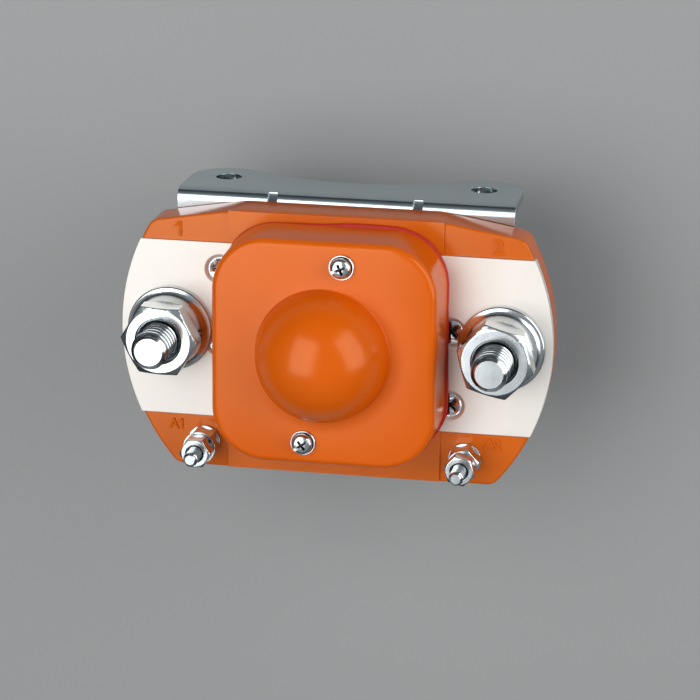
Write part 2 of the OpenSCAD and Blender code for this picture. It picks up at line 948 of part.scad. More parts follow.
// Outline of the flange, down from the leg's front: two lobes and a waist that runs into them
module flange_outline() {
  waist_r = (hole_x * hole_x - lobe_r * lobe_r) / (2 * lobe_r);
  touch = [hole_x * waist_r / (waist_r + lobe_r), -hole_drop - lobe_r * waist_r / (waist_r + lobe_r)];
  half_w = hole_x + lobe_r;
  translate([-half_w, -hole_drop])
    square([2 * half_w, hole_drop + 1]);
  for (side = [-1, 1])
    translate([side * hole_x, -hole_drop])
      circle(lobe_r);
  difference() {
    polygon(both_sides([[touch.x, touch.y], [hole_x, -hole_drop]]));
    translate([0, -hole_drop - waist_r])
      circle(waist_r, $fn = 128);
  }
}

// Outline of the leg, seen from the front: wide under the bend, narrow over the magnet
module leg_outline() {
  half_w = hole_x + lobe_r;
  blend = 4;
  translate([-half_w, leg_wide_y])
    square([2 * half_w, bracket_y - leg_wide_y]);
  translate([-frame_w / 2, -frame_d / 2])
    square([frame_w, leg_wide_y + frame_d / 2]);
  for (side = [-1, 1])
    translate([side * frame_w / 2, leg_wide_y])
      difference() {
        translate([side < 0 ? -blend : 0, -blend])
          square(blend);
        translate([side * blend, -blend])
          circle(blend);
      }
}

// Rib pressed across the inside of the bend
module gusset() {
  bite = 2 * fit;
  y = bracket_y - bracket_t + bite;
  z = z_pole + bite;
  rotate([90, 0, 90])
    linear_extrude(gusset_w, center = true)
      polygon([[y, z], [y - gusset_reach, z], [y, z - gusset_reach]]);
}

// Notch left outside the bend by the pressing of a gusset
module gusset_notch() {
  turn = 53;
  dent = 0.8;
  low_slope = 20;
  high_slope = 45;
  low = [bracket_y - bend_r, z_back - bend_r] + (bend_r - dent) * [sin(turn), cos(turn)];
  reach = 2 * bend_r;
  rotate([90, 0, 90])
    linear_extrude(gusset_w, center = true)
      polygon([
        low,
        low + reach * [cos(low_slope), -sin(low_slope)],
        low + reach * [1, 1],
        low + reach * [-sin(high_slope), cos(high_slope)]
      ]);
}

module mounting_bracket() {
  depth = hole_drop + lobe_r;
  half_w = hole_x + lobe_r;
  color(zinc)
    difference() {
      union() {
        intersection() {
          rotate([90, 0, 90])
            linear_extrude(2 * half_w, center = true)
              bracket_section(depth);
          union() {
            translate([0, bracket_y + over, z_back])
              rotate([90, 0, 0])
                linear_extrude(bend_r + over)
                  flange_outline();
            translate([0, 0, z_pole - over])
              linear_extrude(bracket_t + 2 * over)
                leg_outline();
          }
        }
        for (side = [-1, 1])
          translate([side * gusset_x, 0, 0])
            gusset();
      }
      for (side = [-1, 1]) {
        translate([side * hole_x, bracket_y + over, z_back - hole_drop])
          rotate([90, 0, 0])
            cylinder(d = hole_d, h = bracket_t + 2 * over);
        translate([side * gusset_x, 0, 0])
          gusset_notch();
      }
      translate([0, 0, z_pole - over])
        cylinder(d = rod_hole, h = bracket_t + 2 * over);
      frame_screw_places()
        translate([0, 0, z_pole - over])
          cylinder(d = frame_screw_d + 4 * fit, h = bracket_t + 2 * over);
    }
}

module pole_plate() {
  color(zinc)
    difference() {
      translate([-frame_w / 2, -frame_d / 2, z_coil])
        cube([frame_w, frame_d, frame_t]);
      for (side = [-1, 1])
        translate([side * frame_w / 2, 0, z_coil])
          cube([2 * frame_t + 2 * fit, tongue_w + 2 * fit, 3 * frame_t], center = true);
      translate([0, 0, z_coil - over])
        cylinder(r = tube_out + fit, h = frame_t + 2 * over);
      frame_screw_places()
        translate([0, 0, z_coil - over])
          cylinder(d = frame_screw_d + 4 * fit, h = frame_t + 2 * over);
    }
}

// Steel strip bent to a U, with a tongue on each leg and a hole for the core's spigot
module magnet_frame() {
  half = frame_w / 2;
  inner_bend = frame_bend - frame_t;
  color(zinc)
    difference() {
      rotate([90, 0, 0])
        linear_extrude(frame_d, center = true)
          difference() {
            union() {
              translate([-half, frame_bend])
                square([frame_w, z_pole - frame_bend]);
              translate([-half + frame_bend, 0])
                square([frame_w - 2 * frame_bend, z_coil]);
              for (side = [-1, 1])
                translate([side * (half - frame_bend), frame_bend])
                  circle(frame_bend);
            }
            translate([-half + frame_t, frame_bend])
              square([frame_w - 2 * frame_t, z_pole]);
            translate([-half + frame_bend, frame_t])
              square([frame_w - 2 * frame_bend, z_pole]);
            for (side = [-1, 1])
              translate([side * (half - frame_bend), frame_bend])
                circle(inner_bend);
          }
      for (side = [-1, 1])
        translate([-half - over, side * (tongue_w + frame_d) / 2 - frame_d / 2, z_coil])
          cube([frame_w + 2 * over, frame_d, frame_t + over]);
      translate([0, 0, -over])
        cylinder(d = spigot_d + fit, h = frame_t + 2 * over);
    }
}

module frame_screws() {
  head_h = frame_screw_d * 0.65;
  color(zinc)
    frame_screw_places() {
      translate([0, 0, z_coil])
        mirror([0, 0, 1])
          pan_head(frame_screw_head, head_h);
      translate([0, 0, z_coil - fit])
        cylinder(d = frame_screw_d, h = z_back - z_coil + frame_screw_grip + fit);
    }
}

// Moulded bobbin with two flanges and an ear for each coil tag
module coil_bobbin() {
  tube_d = 2 * (tube_out + fit + bobbin_wall);
  ear_y = tag_end.y - tag_t / 2 - ear_wall;
  color(black_nylon)
    difference() {
      union() {
        translate([0, 0, frame_t])
          cylinder(d = tube_d, h = coil_h);
        for (z = [frame_t, z_coil - bobbin_flange])
          translate([0, 0, z])
            cylinder(d = bobbin_d, h = bobbin_flange);
        for (side = [-1, 1])
          translate([side * tag_end.x - ear_w / 2, ear_y, z_coil - bobbin_flange])
            cube([ear_w, -ear_y - bobbin_d / 3, bobbin_flange]);
      }
      translate([0, 0, frame_t - over])
        cylinder(r = tube_out + fit, h = coil_h + 2 * over);
      for (side = [-1, 1])
        translate([side * tag_end.x, tag_end.y, z_coil])
          cube([tag_w + 2 * fit, tag_t + 2 * fit, 3 * bobbin_flange], center = true);
    }
}

module coil_winding() {
  color(copper)
    translate([0, 0, frame_t + bobbin_flange])
      ring(winding_d, 2 * (tube_out + 2 * fit + bobbin_wall), coil_h - 2 * bobbin_flange);
}

module coil_tape() {
  color(black_tape)
    translate([0, 0, frame_t + bobbin_flange])
      ring(winding_d + fit + 2 * tape_t, winding_d + fit, coil_h - 2 * bobbin_flange);
}

module guide_tube() {
  color(brass)
    translate([0, 0, frame_t])
      ring(2 * tube_out, 2 * tube_r, coil_h + frame_t);
}

module fixed_core() {
  color(zinc)
    difference() {
      union() {
        translate([0, 0, frame_t])
          cylinder(d = plunger_d, h = core_h);
        cylinder(d = spigot_d, h = frame_t + over);
      }
      translate([0, 0, z_core - core_bore])
        cylinder(d = spring_bore_d, h = core_bore + over);
    }
}

module core_shim() {
  color(brass)
    translate([0, 0, z_core])
      ring(plunger_d - 1, spring_bore_d, shim_t);
}

module stop_washer() {
  color(fibre)
    translate([0, 0, z_pole - stop_t])
      ring(plunger_d - 1, rod_hole, stop_t);
}

module plunger() {
  color(zinc)
    difference() {
      translate([0, 0, z_plunger])
        cylinder(d = plunger_d, h = z_plunger_top - z_plunger);
      translate([0, 0, z_plunger - over])
        cylinder(d = spring_bore_d, h = plunger_bore + over);
      translate([0, 0, z_plunger_top - rod_grip])
        cylinder(d = rod_d + fit, h = rod_grip + over);
    }
}

module push_rod() {
  color(zinc) {
    translate([0, 0, z_plunger_top - rod_grip])
      pin(rod_d, z_rod_top - z_plunger_top + rod_grip, rod_chamfer);
    translate([0, 0, z_collar])
      cylinder(d = collar_d, h = collar_h);
  }
}

module return_spring() {
  low = z_core - core_bore + seat_gap;
  high = z_plunger + plunger_bore - seat_gap;
  color(spring_wire)
    translate([0, 0, low])
      coil_spring(return_coil_d, return_wire, high - low, return_turns);
}

module insulating_bush() {
  color(black_nylon)
    difference() {
      union() {
        translate([0, 0, z_bush])
          cylinder(d = bush_flange_d, h = bush_flange_h);
        translate([0, 0, z_bush])
          cylinder(d = bush_d, h = bush_flange_h + bush_len);
      }
      translate([0, 0, z_bush - over])
        cylinder(d = rod_d + fit, h = bush_flange_h + bush_len + 2 * over);
    }
}

// Copper bar with round ends, carried on the insulating bush
module contact_bridge() {
  color(copper)
    difference() {
      translate([0, 0, z_bridge])
        linear_extrude(bridge_t)
          rounded_rect(bridge_l, bridge_w, bridge_w / 3);
      translate([0, 0, z_bridge - over])
        cylinder(d = bush_d + 2 * run_gap, h = bridge_t + 2 * over);
    }
}

module bridge_tips() {
  color(silver_tip)
    each_plate()
      translate([tip_x, 0, z_bridge])
        mirror([0, 0, 1])
          contact_tip();
}

module contact_spring() {
  color(spring_wire)
    translate([0, 0, z_bridge_top + seat_gap])
      coil_spring(contact_coil_d, contact_wire, contact_spring_l - 2 * seat_gap, contact_turns);
}

module spring_seat() {
  color(zinc)
    translate([0, 0, z_spring_seat])
      ring(seat_d, rod_d + fit, seat_t);
}

module lock_nut() {
  color(zinc)
    translate([0, 0, z_lock_nut])
      hex_nut(lock_nut_af, lock_nut_h, rod_d + fit);
}

head_moulding();
contact_plate_left();
contact_plate_right();
fixed_tips();
plate_screws();
terminal_stud_left();
terminal_stud_right();
flange_nut_left();
flange_nut_right();
arc_cover();
cover_gasket();
cover_screws();
cover_washers();
coil_stud_left();
coil_stud_right();
coil_base_washers();
coil_lower_nuts();
coil_flat_washer();
coil_spring_washers();
coil_upper_nuts();
coil_tags();
mounting_bracket();
pole_plate();
magnet_frame();
frame_screws();
coil_bobbin();
coil_winding();
coil_tape();
guide_tube();
fixed_core();
core_shim();
stop_washer();
plunger();
push_rod();
return_spring();
insulating_bush();
contact_bridge();
bridge_tips();
contact_spring();
spring_seat();
lock_nut();
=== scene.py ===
import math

import bmesh
import bpy
from mathutils import Matrix, Vector, noise


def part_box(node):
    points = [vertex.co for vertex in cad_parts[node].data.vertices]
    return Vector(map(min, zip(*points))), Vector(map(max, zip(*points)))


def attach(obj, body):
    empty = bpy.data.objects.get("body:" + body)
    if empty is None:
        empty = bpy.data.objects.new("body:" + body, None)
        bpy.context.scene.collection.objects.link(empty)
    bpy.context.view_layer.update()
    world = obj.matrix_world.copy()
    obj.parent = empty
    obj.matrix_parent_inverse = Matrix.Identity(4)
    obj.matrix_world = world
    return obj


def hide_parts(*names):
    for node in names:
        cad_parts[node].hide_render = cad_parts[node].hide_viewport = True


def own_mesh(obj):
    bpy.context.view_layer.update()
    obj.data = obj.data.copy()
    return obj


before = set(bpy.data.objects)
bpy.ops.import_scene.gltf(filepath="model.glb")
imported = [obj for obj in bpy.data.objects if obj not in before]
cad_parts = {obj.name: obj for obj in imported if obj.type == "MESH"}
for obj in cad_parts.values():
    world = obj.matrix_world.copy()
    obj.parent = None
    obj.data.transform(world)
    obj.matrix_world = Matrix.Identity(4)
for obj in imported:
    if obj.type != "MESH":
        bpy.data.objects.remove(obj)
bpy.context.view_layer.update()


# Studio: a plain pale paper floor under the contactor, lit by two tall soft boxes beside the camera, as the
# dome's two reflections show, in a room that is dark round the horizon. The camera looks down on the
# terminals.
scene = bpy.context.scene
scene.view_settings.view_transform = "Standard"
mm = 0.001


def linear(hex_colour):
    """An sRGB hex colour as the linear colour that a socket takes."""
    srgb = [int(hex_colour[i:i + 2], 16) / 255 for i in (1, 3, 5)]
    return [c / 12.92 if c <= 0.04045 else ((c + 0.055) / 1.055) ** 2.4 for c in srgb] + [1.0]


def add(tree, kind, inputs=None, **settings):
    """Adds one node with its settings. An input takes a value, or the socket that feeds it."""
    node = tree.nodes.new(kind)
    for key, value in settings.items():
        setattr(node, key, value)
    for key, value in (inputs or {}).items():
        if isinstance(value, bpy.types.NodeSocket):
            tree.links.new(value, node.inputs[key])
        else:
            node.inputs[key].default_value = value
    return node


def empty_material(name):
    """A material, its empty tree, and the socket of the piece's own coordinates, in metres."""
    material = bpy.data.materials.new(name)
    material.use_nodes = True
    tree = material.node_tree
    tree.nodes.clear()
    return material, tree, add(tree, "ShaderNodeTexCoord").outputs["Object"]


# The camera's axes and place are fitted to the outlines of the object
cam_right = Vector((0.9829, 0.0115, -0.1837))
cam_up = Vector((-0.0634, 0.9581, -0.2793))
cam_back = Vector((0.1728, 0.2862, 0.9425))
cam_place = Vector((131.75, 208.15, 756.3)) * mm
cam_turn = Matrix((cam_right, cam_up, cam_back)).transposed()
camera = bpy.data.objects.new("camera", bpy.data.cameras.new("camera"))
camera.data.sensor_width = 36
camera.data.lens = 143.9
camera.matrix_world = Matrix.Translation(cam_place) @ cam_turn.to_4x4()
scene.collection.objects.link(camera)
scene.camera = camera

lamp_aim = Vector((0, 0, 62)) * mm
# Each soft box: its place from the aim along the camera's right, up and back and its size, in metres, its
# lean in degrees and its power in watts
soft_boxes = {
    "soft_box_left": ((-0.478, -0.055, 0.73), (0.66, 0.96), -16, 5.9),
    "soft_box_right": ((0.68, 0.10, 0.58), (0.60, 0.98), 28, 5.4),
}
for name, (place, size, lean, power) in soft_boxes.items():
    lamp = bpy.data.lights.new(name, "AREA")
    lamp.shape = "RECTANGLE"
    lamp.size, lamp.size_y = size
    lamp.energy = power
    box = bpy.data.objects.new(name, lamp)
    spot = lamp_aim + cam_right * place[0] + cam_up * place[1] + cam_back * place[2]
    away = (spot - lamp_aim).normalized()
    across = cam_up.cross(away).normalized()
    upright = Matrix((across, away.cross(across), away)).transposed()
    turned = upright @ Matrix.Rotation(math.radians(lean), 3, "Z")
    box.matrix_world = Matrix.Translation(spot) @ turned.to_4x4()
    scene.collection.objects.link(box)

# The room is darker round the horizon than overhead, so that the plated metal has something to mirror
world = bpy.data.worlds.new("studio")
scene.world = world
world.use_nodes = True
tree = world.node_tree
tree.nodes.clear()
direction = add(tree, "ShaderNodeTexCoord")
height = add(tree, "ShaderNodeSeparateXYZ", {"Vector": direction.outputs["Generated"]})
room = add(tree, "ShaderNodeValToRGB", {"Fac": height.outputs["Z"]})
horizon, overhead = room.color_ramp.elements
horizon.position, horizon.color = 0.12, linear("#2c2f34")
overhead.position, overhead.color = 0.85, linear("#a4a7ab")
light = add(tree, "ShaderNodeBackground", {"Color": room.outputs["Color"], "Strength": 0.8})
add(tree, "ShaderNodeOutputWorld", {"Surface": light.outputs["Background"]})

# Studio paper: pale and matt, with a faint cloudiness. Each pattern's scale is 1000 over its size in
# millimetres. A colour mix takes its share at socket 0 and its colours at 6 and 7, and gives the mix at 2
paper, tree, coords = empty_material("studio_paper")
cloud = add(tree, "ShaderNodeTexNoise", {"Vector": coords, "Scale": 1000 / 300, "Detail": 2})
tint = add(tree, "ShaderNodeMix", {0: cloud.outputs["Fac"], 6: linear("#969798"), 7: linear("#a0a1a0")},
           data_type="RGBA")
shader = add(tree, "ShaderNodeBsdfPrincipled", {"Base Color": tint.outputs[2], "Roughness": 0.6})
add(tree, "ShaderNodeOutputMaterial", {"Surface": shader.outputs["BSDF"]})
floor_half = 3.0
floor_corners = [(x * floor_half, y * floor_half, 0) for x, y in ((-1, -1), (1, -1), (1, 1), (-1, 1))]
floor_mesh = bpy.data.meshes.new("floor")
floor_mesh.from_pydata(floor_corners, [], [(0, 1, 2, 3)])
floor_mesh.materials.append(paper)
floor = bpy.data.objects.new("floor", floor_mesh)
scene.collection.objects.link(floor)


# Magnet frame and pole plate: a thick steel strip bent to a U round the coil, and a flat steel plate that
# closes it on the bracket's side. Both are blanked from sheet, so their edges are broken, and plated with
# blue-white zinc.
same_corner = 0.001 * mm
same_face = math.radians(0.3)


def settle(piece, body, slot, *nodes):
    """A finished piece rides on its body and stands for its CAD nodes, which it hides. Its slot is not used.
    """
    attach(piece, body)
    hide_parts(*nodes)


def dress(node, material, slot, body="contactor", edge=0.15, sharp=40):
    """A finished copy of a CAD node: merged to clean faces, its sharp edges broken, smooth on its curves."""
    mesh = bpy.data.meshes.new(node + "_finished")
    bm = bmesh.new()
    bm.from_mesh(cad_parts[node].data)
    bmesh.ops.remove_doubles(bm, verts=bm.verts, dist=same_corner)
    bmesh.ops.dissolve_limit(bm, angle_limit=same_face, verts=bm.verts, edges=bm.edges)
    bm.to_mesh(mesh)
    bm.free()
    if "custom_normal" in mesh.attributes:
        mesh.attributes.remove(mesh.attributes["custom_normal"])
    mesh.shade_smooth()
    mesh.materials.clear()
    mesh.materials.append(material)
    piece = bpy.data.objects.new(node + "_finished", mesh)
    scene.collection.objects.link(piece)
    bevel = piece.modifiers.new("broken_edges", "BEVEL")
    bevel.width = edge * mm
    bevel.segments = 2
    bevel.limit_method = "ANGLE"
    bevel.angle_limit = math.radians(sharp)
    piece.modifiers.new("flat_faces", "WEIGHTED_NORMAL").mode = "FACE_AREA"
    settle(piece, body, slot, node)


# Zinc plated rolled sheet: cool grey, satin, with fine lines along the rolling direction and soft clouds
zinc_sheet, tree, coords = empty_material("zinc_plated_sheet")
rolled = add(tree, "ShaderNodeMapping", {"Vector": coords, "Scale": (0.06, 1, 1)})
lines = add(tree, "ShaderNodeTexNoise", {
    "Vector": rolled.outputs["Vector"], "Scale": 1000 / 0.35, "Detail": 3})
cloud = add(tree, "ShaderNodeTexNoise", {"Vector": coords, "Scale": 1000 / 9, "Detail": 4})
tint = add(tree, "ShaderNodeMix", {0: cloud.outputs["Fac"], 6: linear("#b4c3c9"), 7: linear("#cad6d9")},
           data_type="RGBA")
dull = add(tree, "ShaderNodeMapRange", {"Value": cloud.outputs["Fac"], "To Min": 0.15, "To Max": 0.24})
grain = add(tree, "ShaderNodeBump", {"Height": lines.outputs["Fac"], "Strength": 0.2, "Distance": 0.02 * mm})
shader = add(tree, "ShaderNodeBsdfPrincipled", {
    "Base Color": tint.outputs[2], "Metallic": 1.0, "Roughness": dull.outputs["Result"],
    "Normal": grain.outputs["Normal"]})
add(tree, "ShaderNodeOutputMaterial", {"Surface": shader.outputs["BSDF"]})

dress("magnet_frame", zinc_sheet, "zinc_sheet", edge=0.35)
dress("pole_plate", zinc_sheet, "zinc_sheet", edge=0.3)


# Fixed core, shim and stop washer: a turned steel core is riveted into the frame. A brass shim on it keeps
# the plunger from sticking, and a fibre washer under the bracket softens the plunger's return.

# Bright zinc on turned and cold-headed steel: a hard bluish gleam, uneven in the plating. It carries painted
# shade: it is darker where an occlusion mask finds creases, and in recesses and thread roots, whose vertices
# carry a shade mask
bright_zinc, tree, coords = empty_material("bright_zinc")
cloud = add(tree, "ShaderNodeTexNoise", {"Vector": coords, "Scale": 1000 / 4, "Detail": 3})
pits = add(tree, "ShaderNodeTexNoise", {"Vector": coords, "Scale": 1000 / 0.5, "Detail": 2})
clean = add(tree, "ShaderNodeMix", {0: cloud.outputs["Fac"], 6: linear("#c3ccd1"), 7: linear("#e2e6e6")},
            data_type="RGBA")
# Painted shade: the occlusion mask and the vertices' shade mask mix the zinc's tint towards near-black in
# creases, recesses and thread roots
crevice_occlusion = add(tree, "ShaderNodeAmbientOcclusion", {"Distance": 0.7 * mm}, samples=8)
crevice_shade = add(tree, "ShaderNodeMapRange", {"Value": crevice_occlusion.outputs["AO"], "From Min": 0.12, "From Max": 0.5})
root = add(tree, "ShaderNodeAttribute", attribute_name="groove_shade")
crest = add(tree, "ShaderNodeMapRange", {"Value": root.outputs["Fac"], "To Min": 1.0, "To Max": 0.05})
unshaded_share = add(tree, "ShaderNodeMath", {0: crevice_shade.outputs["Result"], 1: crest.outputs["Result"]},
           operation="MULTIPLY")
tint = add(tree, "ShaderNodeMix", {0: unshaded_share.outputs[0], 6: linear("#1e1c1b"), 7: clean.outputs[2]},
           data_type="RGBA")
dull = add(tree, "ShaderNodeMapRange", {"Value": cloud.outputs["Fac"], "To Min": 0.13, "To Max": 0.24})
grain = add(tree, "ShaderNodeBump", {"Height": pits.outputs["Fac"], "Strength": 0.12, "Distance": 0.02 * mm})
shader = add(tree, "ShaderNodeBsdfPrincipled", {
    "Base Color": tint.outputs[2], "Metallic": 1.0, "Roughness": dull.outputs["Result"],
    "Normal": grain.outputs["Normal"]})
add(tree, "ShaderNodeOutputMaterial", {"Surface": shader.outputs["BSDF"]})

# Half-hard brass strip and tube: yellow, satin from rolling, a little browned in patches
plain_brass, tree, coords = empty_material("rolled_brass")
cloud = add(tree, "ShaderNodeTexNoise", {"Vector": coords, "Scale": 1000 / 5, "Detail": 4})
tint = add(tree, "ShaderNodeMix", {0: cloud.outputs["Fac"], 6: linear("#a8843c"), 7: linear("#d9bb6a")},
           data_type="RGBA")
dull = add(tree, "ShaderNodeMapRange", {"Value": cloud.outputs["Fac"], "To Min": 0.36, "To Max": 0.24})
shader = add(tree, "ShaderNodeBsdfPrincipled", {
    "Base Color": tint.outputs[2], "Metallic": 1.0, "Roughness": dull.outputs["Result"]})
add(tree, "ShaderNodeOutputMaterial", {"Surface": shader.outputs["BSDF"]})

# Vulcanised fibre: dark brown, matt, with a short felted grain
fibre, tree, coords = empty_material("vulcanised_fibre")
felt = add(tree, "ShaderNodeTexNoise", {"Vector": coords, "Scale": 1000 / 0.6, "Detail": 4})
tint = add(tree, "ShaderNodeMix", {0: felt.outputs["Fac"], 6: linear("#3a2d22"), 7: linear("#5c4836")},
           data_type="RGBA")
shader = add(tree, "ShaderNodeBsdfPrincipled", {"Base Color": tint.outputs[2], "Roughness": 0.75})
add(tree, "ShaderNodeOutputMaterial", {"Surface": shader.outputs["BSDF"]})

dress("fixed_core", bright_zinc, "zinc_sheet", edge=0.3)
dress("core_shim", plain_brass, "brass_part", edge=0.05)
dress("stop_washer", fibre, "fibre", edge=0.2)


# Bobbin, winding and guide tube: a black glass-filled nylon bobbin on a drawn brass tube, wound with
# enamelled copper wire. Its two ears hold the tails of the coil tags.

# Moulded nylon: near black, a low gloss over a fine spark-eroded grain
black_nylon, tree, coords = empty_material("moulded_nylon")
spark = add(tree, "ShaderNodeTexNoise", {"Vector": coords, "Scale": 1000 / 0.4, "Detail": 2})
tint = add(tree, "ShaderNodeMix", {0: spark.outputs["Fac"], 6: linear("#1b1c1e"), 7: linear("#2b2c2f")},
           data_type="RGBA")
grain = add(tree, "ShaderNodeBump", {"Height": spark.outputs["Fac"], "Strength": 0.3, "Distance": 0.03 * mm})
shader = add(tree, "ShaderNodeBsdfPrincipled", {
    "Base Color": tint.outputs[2], "Roughness": 0.45, "IOR": 1.53, "Normal": grain.outputs["Normal"]})
add(tree, "ShaderNodeOutputMaterial", {"Surface": shader.outputs["BSDF"]})

# Enamelled wire in close layers: brown-red copper under clear lacquer, one ridge for each turn, with painted
# shade darkening the grooves between turns. A wave texture runs through 20 radians for each unit of its scale
wire_pitch = 0.5
wave_unit = 20 / (2 * math.pi)
enamelled_wire, tree, coords = empty_material("enamelled_copper_wire")
turns = add(tree, "ShaderNodeTexWave", {
    "Vector": coords, "Scale": 1000 / wire_pitch / wave_unit, "Distortion": 0.4}, bands_direction="Z")
# Painted shade: the wave that raises each turn's ridge also darkens the colour in the grooves between turns
tint = add(tree, "ShaderNodeMix", {0: turns.outputs["Fac"], 6: linear("#4d2412"), 7: linear("#a45a30")},
           data_type="RGBA")
ridge = add(tree, "ShaderNodeBump", {"Height": turns.outputs["Fac"], "Strength": 0.8, "Distance": 0.15 * mm})
shader = add(tree, "ShaderNodeBsdfPrincipled", {
    "Base Color": tint.outputs[2], "Metallic": 0.6, "Roughness": 0.35, "Coat Weight": 0.5,
    "Normal": ridge.outputs["Normal"]})
add(tree, "ShaderNodeOutputMaterial", {"Surface": shader.outputs["BSDF"]})

dress("coil_bobbin", black_nylon, "black_nylon", edge=0.25)
dress("coil_winding", enamelled_wire, "copper_wire", edge=0.2)
dress("guide_tube", plain_brass, "brass_part", edge=0.1)


# Tape round the winding: black polyester, wound on in overlapping turns and pressed down by hand. Its
# overlaps stand up a little, and its end is a cut edge down one side.
drawn_weld = 0.0005


def lathe(profile, steps):
    """A closed profile of (radius, height) points, in millimetres, turned round Z."""
    bm = bmesh.new()
    rings = []
    for i in range(steps):
        a = 2 * math.pi * i / steps
        rings.append([bm.verts.new((r * math.cos(a), r * math.sin(a), z)) for r, z in profile])
    for i in range(steps):
        here, there = rings[i], rings[(i + 1) % steps]
        for k in range(len(profile)):
            n = (k + 1) % len(profile)
            bm.faces.new((here[k], there[k], there[n], here[n]))
    bmesh.ops.remove_doubles(bm, verts=bm.verts, dist=drawn_weld)
    bmesh.ops.recalc_face_normals(bm, faces=bm.faces)
    return bm


def smooth_curves(mesh, sharp):
    """Shades a mesh smooth, apart from the edges where it turns by more than this angle."""
    mesh.shade_smooth()
    mesh.set_sharp_from_angle(angle=math.radians(sharp))


def new_piece(name, bm, material, sharp=40):
    """A mesh drawn in millimetres becomes an object in metres, smooth except at its sharp edges."""
    bmesh.ops.scale(bm, vec=(mm, mm, mm), verts=bm.verts)
    mesh = bpy.data.meshes.new(name)
    bm.to_mesh(mesh)
    bm.free()
    smooth_curves(mesh, sharp)
    mesh.materials.append(material)
    piece = bpy.data.objects.new(name, mesh)
    scene.collection.objects.link(piece)
    return piece


tape_low, tape_high = (corner.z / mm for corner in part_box("coil_tape"))
tape_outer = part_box("coil_tape")[1].x / mm
tape_inner = tape_outer - 0.4
tape_middle = (tape_inner + tape_outer) / 2
tape_turns = 4
tape_end_angle = math.radians(-118)
tape_end_step = 0.08
wrinkle_height, wrinkles_per_mm, wrinkle_flatness = 0.05, 0.35, 2
# Each turn's section: how far a point lies under the outer face, and its share of the turn's width
lap_step = 0.14
lap_section = ((lap_step, 0), (lap_step, 0.62), (0.02, 0.64), (0, 0.66), (0, 0.995))
lap = (tape_high - tape_low) / tape_turns
tape_profile = [(tape_inner, tape_low)]
for k in range(tape_turns):
    low = tape_low + k * lap
    tape_profile += [(tape_outer - under, low + lap * share) for under, share in lap_section]
tape_profile.append((tape_inner, tape_high))
bm = lathe(tape_profile, steps=144)
for v in bm.verts:
    radius = math.hypot(v.co.x, v.co.y)
    if radius > tape_middle:
        turn = (math.atan2(v.co.y, v.co.x) - tape_end_angle) % (2 * math.pi) / (2 * math.pi)
        spot = Vector((v.co.x, v.co.y, v.co.z * wrinkle_flatness)) * wrinkles_per_mm
        wrinkle = wrinkle_height * (1 + noise.noise(spot))
        shrink = 1 - (tape_end_step * turn + wrinkle) / radius
        v.co.x *= shrink
        v.co.y *= shrink

# Polyester tape: black, smooth and a little shiny, with faint creases round the coil
polyester_tape, tree, coords = empty_material("polyester_tape")
around = add(tree, "ShaderNodeMapping", {"Vector": coords, "Scale": (1, 1, 3)})
crease = add(tree, "ShaderNodeTexNoise", {"Vector": around.outputs["Vector"], "Scale": 1000 / 7, "Detail": 3})
tint = add(tree, "ShaderNodeMix", {0: crease.outputs["Fac"], 6: linear("#1c1c1f"), 7: linear("#303036")},
           data_type="RGBA")
ridge = add(tree, "ShaderNodeBump", {"Height": crease.outputs["Fac"], "Strength": 0.4, "Distance": 0.1 * mm})
shader = add(tree, "ShaderNodeBsdfPrincipled", {
    "Base Color": tint.outputs[2], "Roughness": 0.3, "IOR": 1.55, "Normal": ridge.outputs["Normal"]})
add(tree, "ShaderNodeOutputMaterial", {"Surface": shader.outputs["BSDF"]})
settle(new_piece("wrapped_tape", bm, polyester_tape, sharp=25), "contactor", "coil_tape", "coil_tape")


# Plunger, push rod and return spring: a turned plunger with the rod screwed in it slides in the brass tube.
# The wound spring sits in blind bores of core and plunger, with its end turns closed, and shortens as the
# coil pulls the plunger in.
closed_turn, closed_rise = 0.14, 0.05
wound_wire = bpy.data.node_groups.new("wound_wire", "GeometryNodeTree")
for name in ("Coil diameter", "Wire", "Length", "Base", "Turns"):
    wound_wire.interface.new_socket(name, in_out="INPUT", socket_type="NodeSocketFloat")
wound_wire.interface.new_socket("Finish", in_out="INPUT", socket_type="NodeSocketMaterial")
wound_wire.interface.new_socket("Geometry", in_out="OUTPUT", socket_type="NodeSocketGeometry")
given = add(wound_wire, "NodeGroupInput")
half = add(wound_wire, "ShaderNodeMath", {0: given.outputs["Coil diameter"], 1: 0.5}, operation="MULTIPLY")
path = add(wound_wire, "GeometryNodeCurveSpiral", {
    "Resolution": 40, "Rotations": given.outputs["Turns"], "Start Radius": half.outputs[0],
    "End Radius": half.outputs[0], "Height": 0.0})
share = add(wound_wire, "GeometryNodeSplineParameter")
rise = add(wound_wire, "ShaderNodeFloatCurve", {"Value": share.outputs["Factor"]})
rise.mapping.curves[0].points.new(closed_turn, closed_rise)
rise.mapping.curves[0].points.new(1 - closed_turn, 1 - closed_rise)
rise.mapping.update()
free = add(wound_wire, "ShaderNodeMath", {0: given.outputs["Length"], 1: given.outputs["Wire"]},
           operation="SUBTRACT")
lift = add(wound_wire, "ShaderNodeMath", {0: rise.outputs["Value"], 1: free.outputs[0]},
           operation="MULTIPLY")
thick = add(wound_wire, "ShaderNodeMath", {0: given.outputs["Wire"], 1: 0.5}, operation="MULTIPLY")
foot = add(wound_wire, "ShaderNodeMath", {0: given.outputs["Base"], 1: thick.outputs[0]}, operation="ADD")
level = add(wound_wire, "ShaderNodeMath", {0: lift.outputs[0], 1: foot.outputs[0]}, operation="ADD")
offset = add(wound_wire, "ShaderNodeCombineXYZ", {"Z": level.outputs[0]})
coiled = add(wound_wire, "GeometryNodeSetPosition", {
    "Geometry": path.outputs["Curve"], "Offset": offset.outputs["Vector"]})
section = add(wound_wire, "GeometryNodeCurvePrimitiveCircle", {"Resolution": 12, "Radius": thick.outputs[0]})
